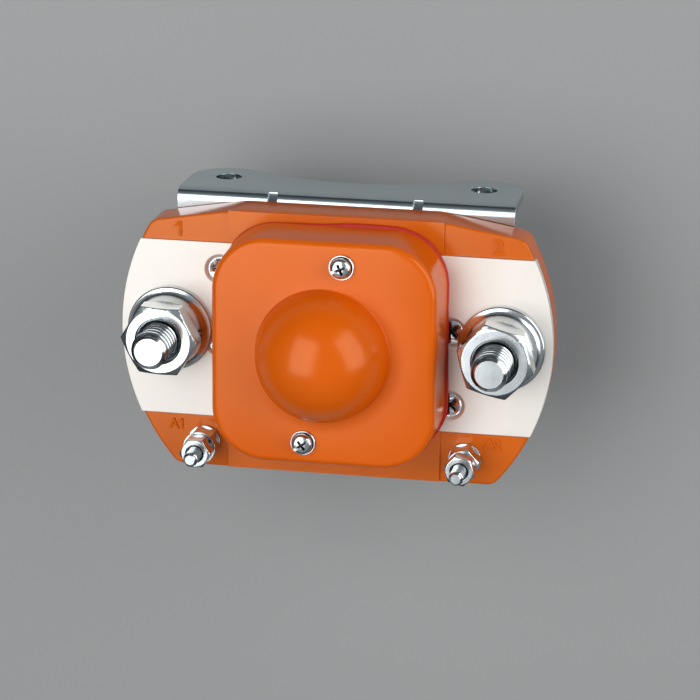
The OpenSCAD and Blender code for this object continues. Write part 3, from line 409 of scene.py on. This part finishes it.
drawn = add(wound_wire, "GeometryNodeCurveToMesh", {
    "Curve": coiled.outputs["Geometry"], "Profile Curve": section.outputs["Curve"], "Fill Caps": True})
smooth = add(wound_wire, "GeometryNodeSetShadeSmooth", {"Geometry": drawn.outputs["Mesh"]})
real = add(wound_wire, "GeometryNodeRealizeInstances", {"Geometry": smooth.outputs["Geometry"]})
painted = add(wound_wire, "GeometryNodeSetMaterial", {
    "Geometry": real.outputs["Geometry"], "Material": given.outputs["Finish"]})
add(wound_wire, "NodeGroupOutput", {"Geometry": painted.outputs["Geometry"]})


def plain_mesh(made):
    """The plain mesh of what an object's modifiers or curves make."""
    return bpy.data.meshes.new_from_object(made.evaluated_get(bpy.context.evaluated_depsgraph_get()))


def realised(name, mesh, tree, inputs):
    """Runs a geometry tree on this mesh and keeps the result as a plain mesh."""
    piece = bpy.data.objects.new(name, mesh)
    scene.collection.objects.link(piece)
    modifier = piece.modifiers.new("tree", "NODES")
    modifier.node_group = tree
    for socket in tree.interface.items_tree:
        if socket.in_out == "INPUT" and socket.name in inputs:
            modifier[socket.identifier] = inputs[socket.name]
    result = plain_mesh(piece)
    piece.modifiers.remove(modifier)
    piece.data = result
    return piece


# Hard drawn spring wire: dark bright steel with die lines too fine to see, so only its gloss varies
spring_wire, tree, coords = empty_material("hard_drawn_wire")
cloud = add(tree, "ShaderNodeTexNoise", {"Vector": coords, "Scale": 1000 / 2, "Detail": 3})
tint = add(tree, "ShaderNodeMix", {0: cloud.outputs["Fac"], 6: linear("#7d8389"), 7: linear("#a3a8ac")},
           data_type="RGBA")
dull = add(tree, "ShaderNodeMapRange", {"Value": cloud.outputs["Fac"], "To Min": 0.2, "To Max": 0.35})
shader = add(tree, "ShaderNodeBsdfPrincipled", {
    "Base Color": tint.outputs[2], "Metallic": 1.0, "Roughness": dull.outputs["Result"]})
add(tree, "ShaderNodeOutputMaterial", {"Surface": shader.outputs["BSDF"]})


def spring(name, node, body, coil_diameter, wire, turns):
    """A wound spring that stands where its CAD solid stands."""
    low, high = (corner.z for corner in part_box(node))
    piece = realised(name, bpy.data.meshes.new(name), wound_wire, {
        "Coil diameter": coil_diameter * mm, "Wire": wire * mm, "Length": high - low, "Base": low,
        "Turns": turns, "Finish": spring_wire})
    settle(piece, body, "spring_steel", node)
    return piece


dress("plunger", bright_zinc, "zinc_sheet", "armature", edge=0.3)
dress("push_rod", bright_zinc, "zinc_fastener", "armature", edge=0.1)
return_spring = spring("return_spring_wound", "return_spring", "contactor",
                       coil_diameter=7, wire=0.9, turns=8.0)
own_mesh(return_spring)


# Bracket: zinc plated sheet, blanked with two lobes and a waist and bent to an L, with two gussets pressed
# in the bend. Its leg is clamped between the magnet and the moulding.
dress("mounting_bracket", zinc_sheet, "zinc_sheet", edge=0.22, sharp=35)


# Frame screws: four zinc plated pan head screws go up through the pole plate and the bracket into the
# moulding. Each has a cross recess, pressed in when the head was formed.
turned_sharp = 35       # the angle in degrees past which an edge of a turned piece shows
screw_point = 0.4       # lead-in at the end of a shank
rim_round = 0.15        # round under the rim of a pan head
rim_share = 0.45        # height of the rim in the height of the head
crown_power = 0.6       # how full the crown is
recess_share = 0.75     # depth of the cross in the height of the head
arm_share = 0.24        # width of the cross's arms for their length
slot_reach = 3          # length of a slot for the cross's
slot_share = 0.45       # depth of a slot for the cross's
cutter_over = 0.3       # how far a cutter stands over the head
shade_under = 0.25        # painted shade lies in a recess from this far under the face
shade_below = 0.05        # to just below its floor
shade_reach = 0.52        # and within this share of the cross's length


def cut(piece, tool):
    """Takes the tool's shape out of the piece, and the tool out of the scene."""
    modifier = piece.modifiers.new("cut", "BOOLEAN")
    modifier.operation = "DIFFERENCE"
    modifier.solver = "EXACT"
    modifier.object = tool
    result = plain_mesh(piece)
    piece.modifiers.remove(modifier)
    piece.data = result
    bpy.data.objects.remove(tool)


def tapered_bar(length, width, top, bottom, share):
    """A bar across the axis whose lower end is the given share of its upper end."""
    bm = bmesh.new()
    bmesh.ops.create_cube(bm, size=1)
    for v in bm.verts:
        grow = 1 if v.co.z > 0 else share
        v.co = Vector((v.co.x * length * grow, v.co.y * width * grow, top if v.co.z > 0 else bottom))
    return bm


def recess(piece, size, top, depth, slot=False, steep=0.62):
    """Presses a cross recess in a screw head, and a slot across it where the head has one."""
    width, over = size * arm_share, top + cutter_over
    for turn in (0, 90):
        bm = tapered_bar(size, width, over, top - depth, steep)
        bmesh.ops.rotate(bm, matrix=Matrix.Rotation(math.radians(turn), 3, "Z"), verts=bm.verts)
        cut(piece, new_piece("cross", bm, bright_zinc))
    if slot:
        bm = tapered_bar(size * slot_reach, width, over, top - depth * slot_share, 1.0)
        cut(piece, new_piece("slot", bm, bright_zinc))
    # Painted shade: the vertices on the floor and lower walls of the cross are marked in a mask that darkens
    # them in the zinc's colour
    groove_shade = piece.data.attributes.new("groove_shade", "FLOAT", "POINT")
    for item, v in zip(groove_shade.data, piece.data.vertices):
        sunk = top - depth - shade_below < v.co.z / mm < top - shade_under
        item.value = float(sunk and v.co.xy.length < size * shade_reach * mm)


def pan_screw(name, head_d, head_h, shank_d, shank_len, recess_size, slot=False):
    """A pan head screw whose head sits on zero: a crowned head with a rounded rim, and a plain shank."""
    r, shank_r = head_d / 2, shank_d / 2
    shank = [(0, -shank_len), (shank_r - screw_point, -shank_len), (shank_r, -shank_len + screw_point),
             (shank_r, 0)]
    rim = [(r - rim_round, 0), (r, rim_round), (r, head_h * rim_share)]
    crown = [(r * math.cos(a) ** crown_power, head_h * (rim_share + (1 - rim_share) * math.sin(a)))
             for a in (math.radians(d) for d in range(10, 90, 10))]
    section = shank + rim + crown + [(0, head_h)]
    piece = new_piece(name, lathe(section, steps=64), bright_zinc, turned_sharp)
    recess(piece, recess_size, head_h, head_h * recess_share, slot)
    smooth_curves(piece.data, turned_sharp)
    return piece


set_fasteners = bpy.data.node_groups.new("set_fasteners", "GeometryNodeTree")
for name, kind in (("Geometry", "Geometry"), ("Fastener", "Object"), ("Finish", "Material")):
    set_fasteners.interface.new_socket(name, in_out="INPUT", socket_type="NodeSocket" + kind)
set_fasteners.interface.new_socket("Geometry", in_out="OUTPUT", socket_type="NodeSocketGeometry")
given = add(set_fasteners, "NodeGroupInput")
one = add(set_fasteners, "GeometryNodeObjectInfo", {"Object": given.outputs["Fastener"]})
turn = add(set_fasteners, "GeometryNodeInputNamedAttribute", {"Name": "turn"}, data_type="FLOAT_VECTOR")
placed = add(set_fasteners, "GeometryNodeInstanceOnPoints", {
    "Points": given.outputs["Geometry"], "Instance": one.outputs["Geometry"],
    "Rotation": turn.outputs["Attribute"]})
real = add(set_fasteners, "GeometryNodeRealizeInstances", {"Geometry": placed.outputs["Instances"]})
painted = add(set_fasteners, "GeometryNodeSetMaterial", {
    "Geometry": real.outputs["Geometry"], "Material": given.outputs["Finish"]})
add(set_fasteners, "NodeGroupOutput", {"Geometry": painted.outputs["Geometry"]})


def fasten(name, one_piece, places, turns, node, slot, tilt=0):
    """Sets copies of one fastener at these places, each turned as it happened to be tightened."""
    points = bpy.data.meshes.new(name)
    points.from_pydata([Vector(p) * mm for p in places], [], [])
    spins = points.attributes.new("turn", "FLOAT_VECTOR", "POINT")
    for item, spin in zip(spins.data, turns):
        item.vector = (tilt, 0, math.radians(spin))
    finish = one_piece.data.materials[0]
    piece = realised(name, points, set_fasteners, {"Fastener": one_piece, "Finish": finish})
    bpy.data.objects.remove(one_piece)
    settle(piece, "contactor", slot, node)


frame_screw_x, frame_screw_y = 22, 16
plate_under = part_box("pole_plate")[0].z / mm
frame_screw = pan_screw("frame_screw", head_d=7, head_h=2.6, shank_d=4, shank_len=13, recess_size=3.6)
fasten("frame_screws_set", frame_screw,
       [(sx * frame_screw_x, sy * frame_screw_y, plate_under) for sx in (-1, 1) for sy in (-1, 1)],
       (12, 55, 78, 31), "frame_screws", "zinc_fastener", tilt=math.pi)


# Moulded head: one thermoset moulding, glossy from a polished tool, that carries every contact and terminal.
# Its step lines, cored back and hexagon pockets come from the tool, as do the small raised terminal marks.

# Glossy orange thermoset: a faint flow mottle in the colour, and a slow waviness in the gloss
orange_moulding, tree, coords = empty_material("orange_thermoset")
flow = add(tree, "ShaderNodeTexNoise", {"Vector": coords, "Scale": 1000 / 14, "Detail": 4})
tint = add(tree, "ShaderNodeMix", {0: flow.outputs["Fac"], 6: linear("#cb590e"), 7: linear("#d86814")},
           data_type="RGBA")
dull = add(tree, "ShaderNodeMapRange", {"Value": flow.outputs["Fac"], "To Min": 0.13, "To Max": 0.2})
skin = add(tree, "ShaderNodeTexNoise", {"Vector": coords, "Scale": 1000 / 1.6, "Detail": 2})
peel = add(tree, "ShaderNodeBump", {"Height": skin.outputs["Fac"], "Strength": 0.1, "Distance": 0.03 * mm})
shader = add(tree, "ShaderNodeBsdfPrincipled", {
    "Base Color": tint.outputs[2], "Roughness": dull.outputs["Result"], "IOR": 1.5,
    "Specular Tint": linear("#ffdcb4"), "Normal": peel.outputs["Normal"]})
add(tree, "ShaderNodeOutputMaterial", {"Surface": shader.outputs["BSDF"]})
dress("head_moulding", orange_moulding, "orange_moulding", edge=0.18, sharp=50)

# Etched marks: the same orange, but matt from the tool, so they don't mirror the boxes and look darker
etched_mark = orange_moulding.copy()
etched_mark.name = "etched_mark"
tree = etched_mark.node_tree
matt = next(node for node in tree.nodes if node.type == "BSDF_PRINCIPLED")
tree.links.remove(matt.inputs["Roughness"].links[0])
matt.inputs["Roughness"].default_value = 0.7
matt.inputs["Specular IOR Level"].default_value = 0.2


def loft(rings, closed):
    """Joins rings of equal count. A closed loft joins the last ring to the first."""
    bm = bmesh.new()
    rows = [[bm.verts.new(p) for p in ring] for ring in rings]
    pairs = list(zip(rows, rows[1:])) + ([(rows[-1], rows[0])] if closed else [])
    for a, b in pairs:
        for k in range(len(a)):
            n = (k + 1) % len(a)
            bm.faces.new((a[k], a[n], b[n], b[k]))
    return bm


z_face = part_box("coil_base_washers")[0].z / mm
mark_relief, mark_edge, mark_bolder = 0.3, 0.04, 0.1
font_for_cap = 1.35
# Each mark: its place and its cap height
marks = {
    "1": (-41.75, 27.0, 4.0), "2": (43.0, 26.8, 4.0),
    "A1": (-42.9, -27.1, 2.8), "A2": (42.8, -26.9, 2.8),
}
for words, (x, y, cap) in marks.items():
    letters = bpy.data.curves.new("mark_" + words, "FONT")
    letters.body = words
    letters.align_x = "CENTER"
    letters.align_y = "CENTER"
    letters.size = cap * font_for_cap * mm
    letters.extrude = mark_relief * mm
    letters.bevel_depth = mark_edge * mm
    letters.offset = mark_bolder * mm
    drawn = bpy.data.objects.new("mark_" + words, letters)
    scene.collection.objects.link(drawn)
    mesh = plain_mesh(drawn)
    bpy.data.objects.remove(drawn)
    mesh.transform(Matrix.Translation(Vector((x, y, z_face)) * mm))
    mesh.materials.clear()
    mesh.materials.append(etched_mark)
    if words.endswith("1"):
        # The font's 1 is a bare bar, so it gets a flag on its left
        right, top = (max(v.co[axis] for v in mesh.vertices) / mm for axis in (0, 1))
        bar, flag, run, drop = 0.2 * cap, 0.22 * cap, 0.26 * cap, 0.18 * cap
        left = right - bar
        corners = [(left, top), (left, top - flag), (left - run, top - drop - flag), (left - run, top - drop)]
        bm = loft([[(u, v, z) for u, v in corners] for z in (z_face - mark_relief, z_face + mark_relief)],
                  closed=False)
        bmesh.ops.holes_fill(bm, edges=bm.edges, sides=0)
        bmesh.ops.recalc_face_normals(bm, faces=bm.faces)
        bmesh.ops.scale(bm, vec=(mm, mm, mm), verts=bm.verts)
        bm.from_mesh(mesh)
        bm.to_mesh(mesh)
        bm.free()
    mark = bpy.data.objects.new("terminal_mark_" + words, mesh)
    scene.collection.objects.link(mark)
    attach(mark, "contactor")


# Contact plates and their tips: blanked copper bars, satin nickel plated, pressed into the moulding. Each
# carries a silver tip under the cover, where the bridge lands.

# Satin nickel: almost white and a little warm, with a fine even grain from the etched copper under it
satin_nickel, tree, coords = empty_material("satin_nickel")
etch = add(tree, "ShaderNodeTexNoise", {"Vector": coords, "Scale": 1000 / 0.35, "Detail": 3})
cloud = add(tree, "ShaderNodeTexNoise", {"Vector": coords, "Scale": 1000 / 10, "Detail": 3})
tint = add(tree, "ShaderNodeMix", {0: cloud.outputs["Fac"], 6: linear("#f0ebe3"), 7: linear("#fbf8f3")},
           data_type="RGBA")
dull = add(tree, "ShaderNodeMapRange", {"Value": cloud.outputs["Fac"], "To Min": 0.6, "To Max": 0.68})
grain = add(tree, "ShaderNodeBump", {"Height": etch.outputs["Fac"], "Strength": 0.3, "Distance": 0.02 * mm})
shader = add(tree, "ShaderNodeBsdfPrincipled", {
    "Base Color": tint.outputs[2], "Metallic": 1.0, "Roughness": dull.outputs["Result"],
    "Normal": grain.outputs["Normal"]})
add(tree, "ShaderNodeOutputMaterial", {"Surface": shader.outputs["BSDF"]})

# Silver alloy: white metal, pressed, slightly dulled by handling
silver_alloy, tree, coords = empty_material("silver_alloy")
cloud = add(tree, "ShaderNodeTexNoise", {"Vector": coords, "Scale": 1000 / 1.5, "Detail": 3})
tint = add(tree, "ShaderNodeMix", {0: cloud.outputs["Fac"], 6: linear("#c9c7c1"), 7: linear("#e8e7e4")},
           data_type="RGBA")
shader = add(tree, "ShaderNodeBsdfPrincipled", {
    "Base Color": tint.outputs[2], "Metallic": 1.0, "Roughness": 0.3})
add(tree, "ShaderNodeOutputMaterial", {"Surface": shader.outputs["BSDF"]})

for side in ("left", "right"):
    dress("contact_plate_" + side, satin_nickel, "nickel_plate", edge=0.2)
dress("fixed_tips", silver_alloy, "silver_tip", edge=0.15)


# Plate screws: two countersunk steel screws with cross recesses hold each plate, half hidden by the cover's
# edge. They sit a little below the plate and are zinc plated.
plate_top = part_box("contact_plate_right")[1].z / mm
csk_r, csk_top, csk_foot = 3.22, -0.7, -2
csk_shank_r, csk_end = 2, -9
# Heights count from the plate's top. The section is a pointed shank, the cone and a small round rim
csk_section = [
    (0, csk_end), (csk_shank_r - screw_point, csk_end), (csk_shank_r, csk_end + screw_point),
    (csk_shank_r, csk_foot), (csk_r - 0.02, csk_top - 0.15), (csk_r, csk_top - 0.08),
    (csk_r - 0.1, csk_top), (0, csk_top)]
plate_screw = new_piece("plate_screw", lathe(csk_section, steps=64), bright_zinc, turned_sharp)
recess(plate_screw, size=3.8, top=csk_top, depth=1.9, steep=0.86)
right_places = ((31, 3.3), (31, -16.7))
fasten("plate_screws_set", plate_screw,
       [(s * x, s * y, plate_top) for s in (1, -1) for x, y in right_places],
       (44, 47, 70, 10), "plate_screws", "zinc_fastener")


# Main terminal studs: M10 hexagon headed steel studs, put in from behind, their heads held in pockets of the
# moulding. The thread is rolled, so its crests are round and bright, and the tip is chamfered. Its pitch of
# 1.5 mm is too fine to show in the render, so it is drawn at 2.1 mm.
thread_share = 0.6      # depth of a thread for its pitch
thread_deepest = 0.9    # and the deepest that a thread is cut
thread_flank = 0.72     # height of the wave whose ends are cut off for crests and roots
root_shade_from = 0.12    # share of the depth at which painted shade begins in a thread root
root_shade_span = 0.22    # share of the depth over which it grows
root_shade_strength = 0.8          # and how dark it gets
crest_play = 0.08       # how much less than its nominal size a thread has across its crests
neck_play = 0.1         # how far the plain neck stays inside the nominal radius
neck_len = 1.0          # length of the neck between head and thread
neck_lap = 0.5          # how far the neck runs into the head
neck_rise = 0.2         # and into the thread
head_edge = 0.4         # height of the chamfer round the head's end face
head_taper = 0.93       # and width of that face for the head's


def threaded_rod(d, pitch, low, high, chamfer):
    """A rolled thread along Z with a chamfered tip: the rows follow the helix and rise a pitch a turn."""
    steps, rows = 72, 10
    depth = min(thread_share * pitch, thread_deepest)
    bm = bmesh.new()
    groove_shade = bm.verts.layers.float.new("groove_shade")
    total = (math.ceil((high - low) / pitch) + 3) * rows
    start = math.floor(low / pitch) - 1
    columns = []
    for i in range(steps):
        a = 2 * math.pi * i / steps
        column = []
        for j in range(total):
            z = min(high, max(low, (start + j / rows + i / steps) * pitch))
            root = 1 - min(1, max(0, 0.5 + thread_flank * math.cos(2 * math.pi * z / pitch - a)))
            cone = d / 2 - max(0, z - (high - chamfer))
            r = min(d / 2 - depth * root, cone)
            v = bm.verts.new((r * math.cos(a), r * math.sin(a), z))
            # Painted shade: where the tip's chamfer does not cut the thread off, a vertex's shade mask grows
            # with its depth in the root
            if r < cone:
                v[groove_shade] = root_shade_strength * min(1, max(0, (root - root_shade_from) / root_shade_span))
            column.append(v)
        columns.append(column)
    for i in range(steps):
        wrap = rows if i == steps - 1 else 0
        here, there = columns[i], columns[(i + 1) % steps]
        for j in range(total - 1 - wrap):
            bm.faces.new((here[j], there[j + wrap], there[j + wrap + 1], here[j + 1]))
    bmesh.ops.remove_doubles(bm, verts=bm.verts, dist=drawn_weld)
    bmesh.ops.dissolve_degenerate(bm, edges=bm.edges, dist=drawn_weld)
    bmesh.ops.holes_fill(bm, edges=[e for e in bm.edges if e.is_boundary], sides=0)
    bmesh.ops.recalc_face_normals(bm, faces=bm.faces)
    return bm


def join(bm, other):
    """Adds another drawn mesh to this one."""
    mesh = bpy.data.meshes.new("joined")
    other.to_mesh(mesh)
    other.free()
    bm.from_mesh(mesh)
    bpy.data.meshes.remove(mesh)


def stud(name, node, d, pitch, chamfer, head_af, head_h):
    """A hexagon headed stud: a chamfered head, a plain neck and a thread to the tip."""
    near, far = (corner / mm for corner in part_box(node))
    low, high = near.z, far.z
    seat = low + head_h
    thread_low = seat + neck_len
    bm = threaded_rod(d - crest_play, pitch, thread_low, high, chamfer)
    r = head_af / 2 / math.cos(math.radians(30))
    sixths = [math.radians(60 * k) for k in range(6)]
    head = loft([[(r * grow * math.cos(a), r * grow * math.sin(a), z) for a in sixths]
                 for z, grow in ((low, head_taper), (low + head_edge, 1), (seat, 1))], closed=False)
    bmesh.ops.holes_fill(head, edges=head.edges, sides=0)
    bmesh.ops.recalc_face_normals(head, faces=head.faces)
    join(bm, head)
    neck_r, neck_low, neck_high = d / 2 - neck_play, seat - neck_lap, thread_low + neck_rise
    join(bm, lathe([(0, neck_low), (neck_r, neck_low), (neck_r, neck_high), (0, neck_high)], steps=72))
    bmesh.ops.translate(bm, vec=((near.x + far.x) / 2, (near.y + far.y) / 2, 0), verts=bm.verts)
    settle(new_piece(name, bm, bright_zinc, sharp=38), "contactor", "zinc_fastener", node)


for side in ("left", "right"):
    stud("threaded_stud_" + side, "terminal_stud_" + side,
         d=10, pitch=2.1, chamfer=1.3, head_af=17, head_h=6)


# Flange nuts: cold-formed hexagon nuts of zinc plated steel, whose base runs out in a hollow cone to a round
# flange, so they need no washer. The top corners are turned off and the bore is countersunk.
for side in ("left", "right"):
    dress("flange_nut_" + side, bright_zinc, "zinc_fastener", edge=0.16, sharp=28)


# Coil tags and coil studs: brass strips lead from the bobbin's ears to two M4 steel screws, which go through
# the moulding from behind and serve as the control terminals.
dress("coil_tags", plain_brass, "brass_part", edge=0.1)
for side in ("left", "right"):
    stud("threaded_coil_stud_" + side, "coil_stud_" + side,
         d=4, pitch=0.7, chamfer=0.7, head_af=7, head_h=2.8)


# Coil terminal nuts and washers: each small stud has a washer on the moulding, a tall lower nut, a split
# spring washer and an upper nut. The left one has a further flat washer. All are zinc plated steel.
dress("coil_base_washers", bright_zinc, "zinc_fastener", edge=0.12)
dress("coil_lower_nuts", bright_zinc, "zinc_fastener", edge=0.1, sharp=28)
dress("coil_flat_washer", bright_zinc, "zinc_fastener", edge=0.12)
dress("coil_spring_washers", bright_zinc, "zinc_fastener", edge=0.1)
dress("coil_upper_nuts", bright_zinc, "zinc_fastener", edge=0.1, sharp=28)


# Contact bridge: a copper bar with two silver tips rides on a nylon bush on the push rod, pressed down by
# the contact spring between it and a seat under the lock nut.

# Bare copper bar: pink-brown, rolled, with slight tarnish
bare_copper, tree, coords = empty_material("rolled_copper")
cloud = add(tree, "ShaderNodeTexNoise", {"Vector": coords, "Scale": 1000 / 6, "Detail": 4})
tint = add(tree, "ShaderNodeMix", {0: cloud.outputs["Fac"], 6: linear("#9c5330"), 7: linear("#d08c62")},
           data_type="RGBA")
dull = add(tree, "ShaderNodeMapRange", {"Value": cloud.outputs["Fac"], "To Min": 0.4, "To Max": 0.26})
shader = add(tree, "ShaderNodeBsdfPrincipled", {
    "Base Color": tint.outputs[2], "Metallic": 1.0, "Roughness": dull.outputs["Result"]})
add(tree, "ShaderNodeOutputMaterial", {"Surface": shader.outputs["BSDF"]})

dress("insulating_bush", black_nylon, "black_nylon", "armature", edge=0.2)
dress("contact_bridge", bare_copper, "copper_bar", "bridge", edge=0.3)
dress("bridge_tips", silver_alloy, "silver_tip", "bridge", edge=0.15)
dress("spring_seat", bright_zinc, "zinc_fastener", "armature", edge=0.15)
dress("lock_nut", bright_zinc, "zinc_fastener", "armature", edge=0.12, sharp=28)
contact_spring = spring("contact_spring_wound", "contact_spring", "armature",
                        coil_diameter=12, wire=1.2, turns=5.0)
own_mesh(contact_spring)


# Gasket: a red silicone ring, cut from sheet, between the cover and the moulding. It was laid in by hand, a
# little askew, and squeezed, so it bulges unevenly past the cover.
corner_steps, side_steps = 14, 10


def rounded_outline(w, d, r):
    """Points round a rectangle with round corners, the same count for any size."""
    points = []
    for k, (sx, sy) in enumerate(((1, 1), (-1, 1), (-1, -1), (1, -1))):
        cx, cy = sx * (w / 2 - r), sy * (d / 2 - r)
        for i in range(corner_steps + 1):
            a = math.radians(90 * (k + i / corner_steps))
            points.append(Vector((cx + r * math.cos(a), cy + r * math.sin(a))))
        nx, ny = ((-1, 1), (-1, -1), (1, -1), (1, 1))[k]
        start = points[-1]
        a = math.radians(90 * (k + 1))
        end = Vector((nx * (w / 2 - r) + r * math.cos(a), ny * (d / 2 - r) + r * math.sin(a)))
        for i in range(1, side_steps):
            points.append(start.lerp(end, i / side_steps))
    return points


cover_w, cover_d = ((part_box("arc_cover")[1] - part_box("arc_cover")[0]) / mm).xy
cover_r, cover_wall = 14.5, 2.5
gasket_low, gasket_high = (corner.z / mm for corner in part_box("cover_gasket"))
gasket_slip, gasket_turn = Vector((0.35, 0.1)), math.radians(1.05)
ripple, ripples_per_mm = 0.2, 0.16
# On the side towards the bracket the ring bulges most: how far, where and over what half width
bulge, bulge_x, bulge_half = 0.45, 8, 9
# The ring's section: how far each point lies past the cover's outline, and its height
gasket_section = (
    (-2.9, gasket_low), (-0.3, gasket_low), (0.05, gasket_low + 0.12), (0.25, gasket_low + 0.45),
    (0.05, gasket_high - 0.12), (-0.3, gasket_high), (-2.9, gasket_high))
gasket_rings = []
for past, z in gasket_section:
    ring = []
    for p in rounded_outline(cover_w + 2 * past, cover_d + 2 * past, cover_r + past):
        swell = 0
        if past > 0:
            swell = ripple * noise.noise(Vector((p.x, p.y, 0)) * ripples_per_mm)
            swell += bulge * math.exp(-((p.x - bulge_x) / bulge_half) ** 2) if p.y > 0 else 0
        q = p * (1 + swell / p.length) + gasket_slip
        ring.append((q.x - gasket_turn * q.y, q.y + gasket_turn * q.x, z))
    gasket_rings.append(ring)
bm = loft(gasket_rings, closed=True)
bmesh.ops.recalc_face_normals(bm, faces=bm.faces)

# Silicone rubber: strong red with a soft sheen and a faint grain from the sheet
red_silicone, tree, coords = empty_material("red_silicone")
skin = add(tree, "ShaderNodeTexNoise", {"Vector": coords, "Scale": 1000 / 1.2, "Detail": 3})
tint = add(tree, "ShaderNodeMix", {0: skin.outputs["Fac"], 6: linear("#a8160c"), 7: linear("#c92a17")},
           data_type="RGBA")
grain = add(tree, "ShaderNodeBump", {"Height": skin.outputs["Fac"], "Strength": 0.2, "Distance": 0.05 * mm})
shader = add(tree, "ShaderNodeBsdfPrincipled", {
    "Base Color": tint.outputs[2], "Roughness": 0.5, "IOR": 1.41, "Normal": grain.outputs["Normal"]})
add(tree, "ShaderNodeOutputMaterial", {"Surface": shader.outputs["BSDF"]})
settle(new_piece("squeezed_gasket", bm, red_silicone, sharp=50), "contactor", "red_silicone", "cover_gasket")


# Cover: a deep square cover with a dome over the bridge, moulded in the same orange from a polished tool. It
# has a little draft, generous corners and a soft front edge, and two screws hold it.
z_cover = gasket_high
z_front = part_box("cover_washers")[0].z / mm
dome_z = z_front - 0.6
dome_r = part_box("arc_cover")[1].z / mm - dome_z
dome_foot = 0.4         # round where the dome meets the front
dome_apron = 4          # width of the flat ring of faces round the dome
dome_start = 2          # degrees from the end of that round to the dome's first ring
dome_stop = 88          # and the angle of its last ring, closed by one small face
dome_steps = 20
front_edge = 2.0        # round of the front edge
edge_steps = 8
draft = math.tan(math.radians(1.5))
cover_sharp = 35


def cover_rings(inset, low, top, edge, ball):
    """Rings of one skin of the cover, from its rim up over the front edge and the dome."""
    rise = top - edge - low
    fall = rise * draft
    w, d, r = cover_w - 2 * inset, cover_d - 2 * inset, cover_r - inset
    steps = [(fall * share, low + rise * share) for share in (0, 0.35, 0.7, 1)]
    for k in range(1, edge_steps + 1):
        a = math.radians(90 * k / edge_steps)
        steps.append((fall + edge * (1 - math.cos(a)), top - edge + edge * math.sin(a)))
    rings = [(rounded_outline(w - 2 * step, d - 2 * step, r - step), z) for step, z in steps]
    square = rings[-1][0]
    rounds = [(ball + dome_apron, top)]
    rounds += [(ball + dome_foot * (1 - math.sin(a)), top + dome_foot * (1 - math.cos(a)))
               for a in (math.radians(d) for d in range(0, 90, 15))]
    first = math.degrees(math.asin(max(0, (rounds[-1][1] - dome_z) / ball))) + dome_start
    rounds += [(ball * math.cos(math.radians(a)), dome_z + ball * math.sin(math.radians(a)))
               for a in [first + (dome_stop - first) * k / dome_steps for k in range(dome_steps + 1)]]
    rings += [([p.normalized() * radius for p in square], z) for radius, z in rounds]
    return [[(p.x, p.y, z) for p in ring] for ring, z in rings]


outer = cover_rings(0, z_cover, z_front, front_edge, dome_r)
inner = cover_rings(cover_wall, z_cover, z_front - cover_wall, front_edge / 2, dome_r - cover_wall)
bm = loft(inner[::-1] + outer, closed=False)
bmesh.ops.holes_fill(bm, edges=[e for e in bm.edges if e.is_boundary], sides=0)
bmesh.ops.recalc_face_normals(bm, faces=bm.faces)

# Polished orange cover: the moulding's colour, a shade clearer, with a gloss that mirrors the boxes
orange_cover, tree, coords = empty_material("polished_orange_cover")
flow = add(tree, "ShaderNodeTexNoise", {"Vector": coords, "Scale": 1000 / 18, "Detail": 3})
tint = add(tree, "ShaderNodeMix", {0: flow.outputs["Fac"], 6: linear("#d85a04"), 7: linear("#e06408")},
           data_type="RGBA")
dull = add(tree, "ShaderNodeMapRange", {"Value": flow.outputs["Fac"], "To Min": 0.2, "To Max": 0.28})
skin = add(tree, "ShaderNodeTexNoise", {"Vector": coords, "Scale": 1000 / 2.5, "Detail": 2})
peel = add(tree, "ShaderNodeBump", {"Height": skin.outputs["Fac"], "Strength": 0.12, "Distance": 0.03 * mm})
shader = add(tree, "ShaderNodeBsdfPrincipled", {
    "Base Color": tint.outputs[2], "Roughness": dull.outputs["Result"], "IOR": 1.5,
    "Specular Tint": linear("#ffdcb4"), "Normal": peel.outputs["Normal"]})
add(tree, "ShaderNodeOutputMaterial", {"Surface": shader.outputs["BSDF"]})

cover = new_piece("domed_cover", bm, orange_cover, cover_sharp)
screw_places = [(-4.85, -23.9), (4.85, 23.9)]
hole_r, drill_past = 1.7, 1
drill_low, drill_high = z_cover - drill_past, z_front + drill_past
for x, y in screw_places:
    drill = lathe([(0, drill_low), (hole_r, drill_low), (hole_r, drill_high), (0, drill_high)], steps=48)
    bmesh.ops.translate(drill, vec=(x, y, 0), verts=drill.verts)
    cut(cover, new_piece("drill", drill, orange_cover))
smooth_curves(cover.data, cover_sharp)
settle(cover, "contactor", "cover_orange", "arc_cover")


# Cover screws and washers: two pan head screws with a slotted cross recess, each on a small dished washer,
# run through the cover into the moulding. Both are zinc plated steel.
washer_t = 0.7
washer_section = [
    (1.6, 0.08), (1.68, 0), (3.2, 0), (3.3, 0.1), (3.3, 0.6), (3.2, washer_t), (3.02, washer_t), (2.6, 0.28),
    (2.35, washer_t), (1.72, washer_t), (1.6, 0.6)]
washer = new_piece("cover_washer", lathe(washer_section, steps=64), bright_zinc, turned_sharp)
fasten("cover_washers_set", washer, [(x, y, z_front) for x, y in screw_places], (0, 40),
       "cover_washers", "zinc_fastener")
cover_screw = pan_screw("cover_screw", head_d=5.5, head_h=2.3, shank_d=3, shank_len=22, recess_size=3.2,
                        slot=True)
fasten("cover_screws_set", cover_screw, [(x, y, z_front + washer_t) for x, y in screw_places], (38, 24),
       "cover_screws", "zinc_fastener")
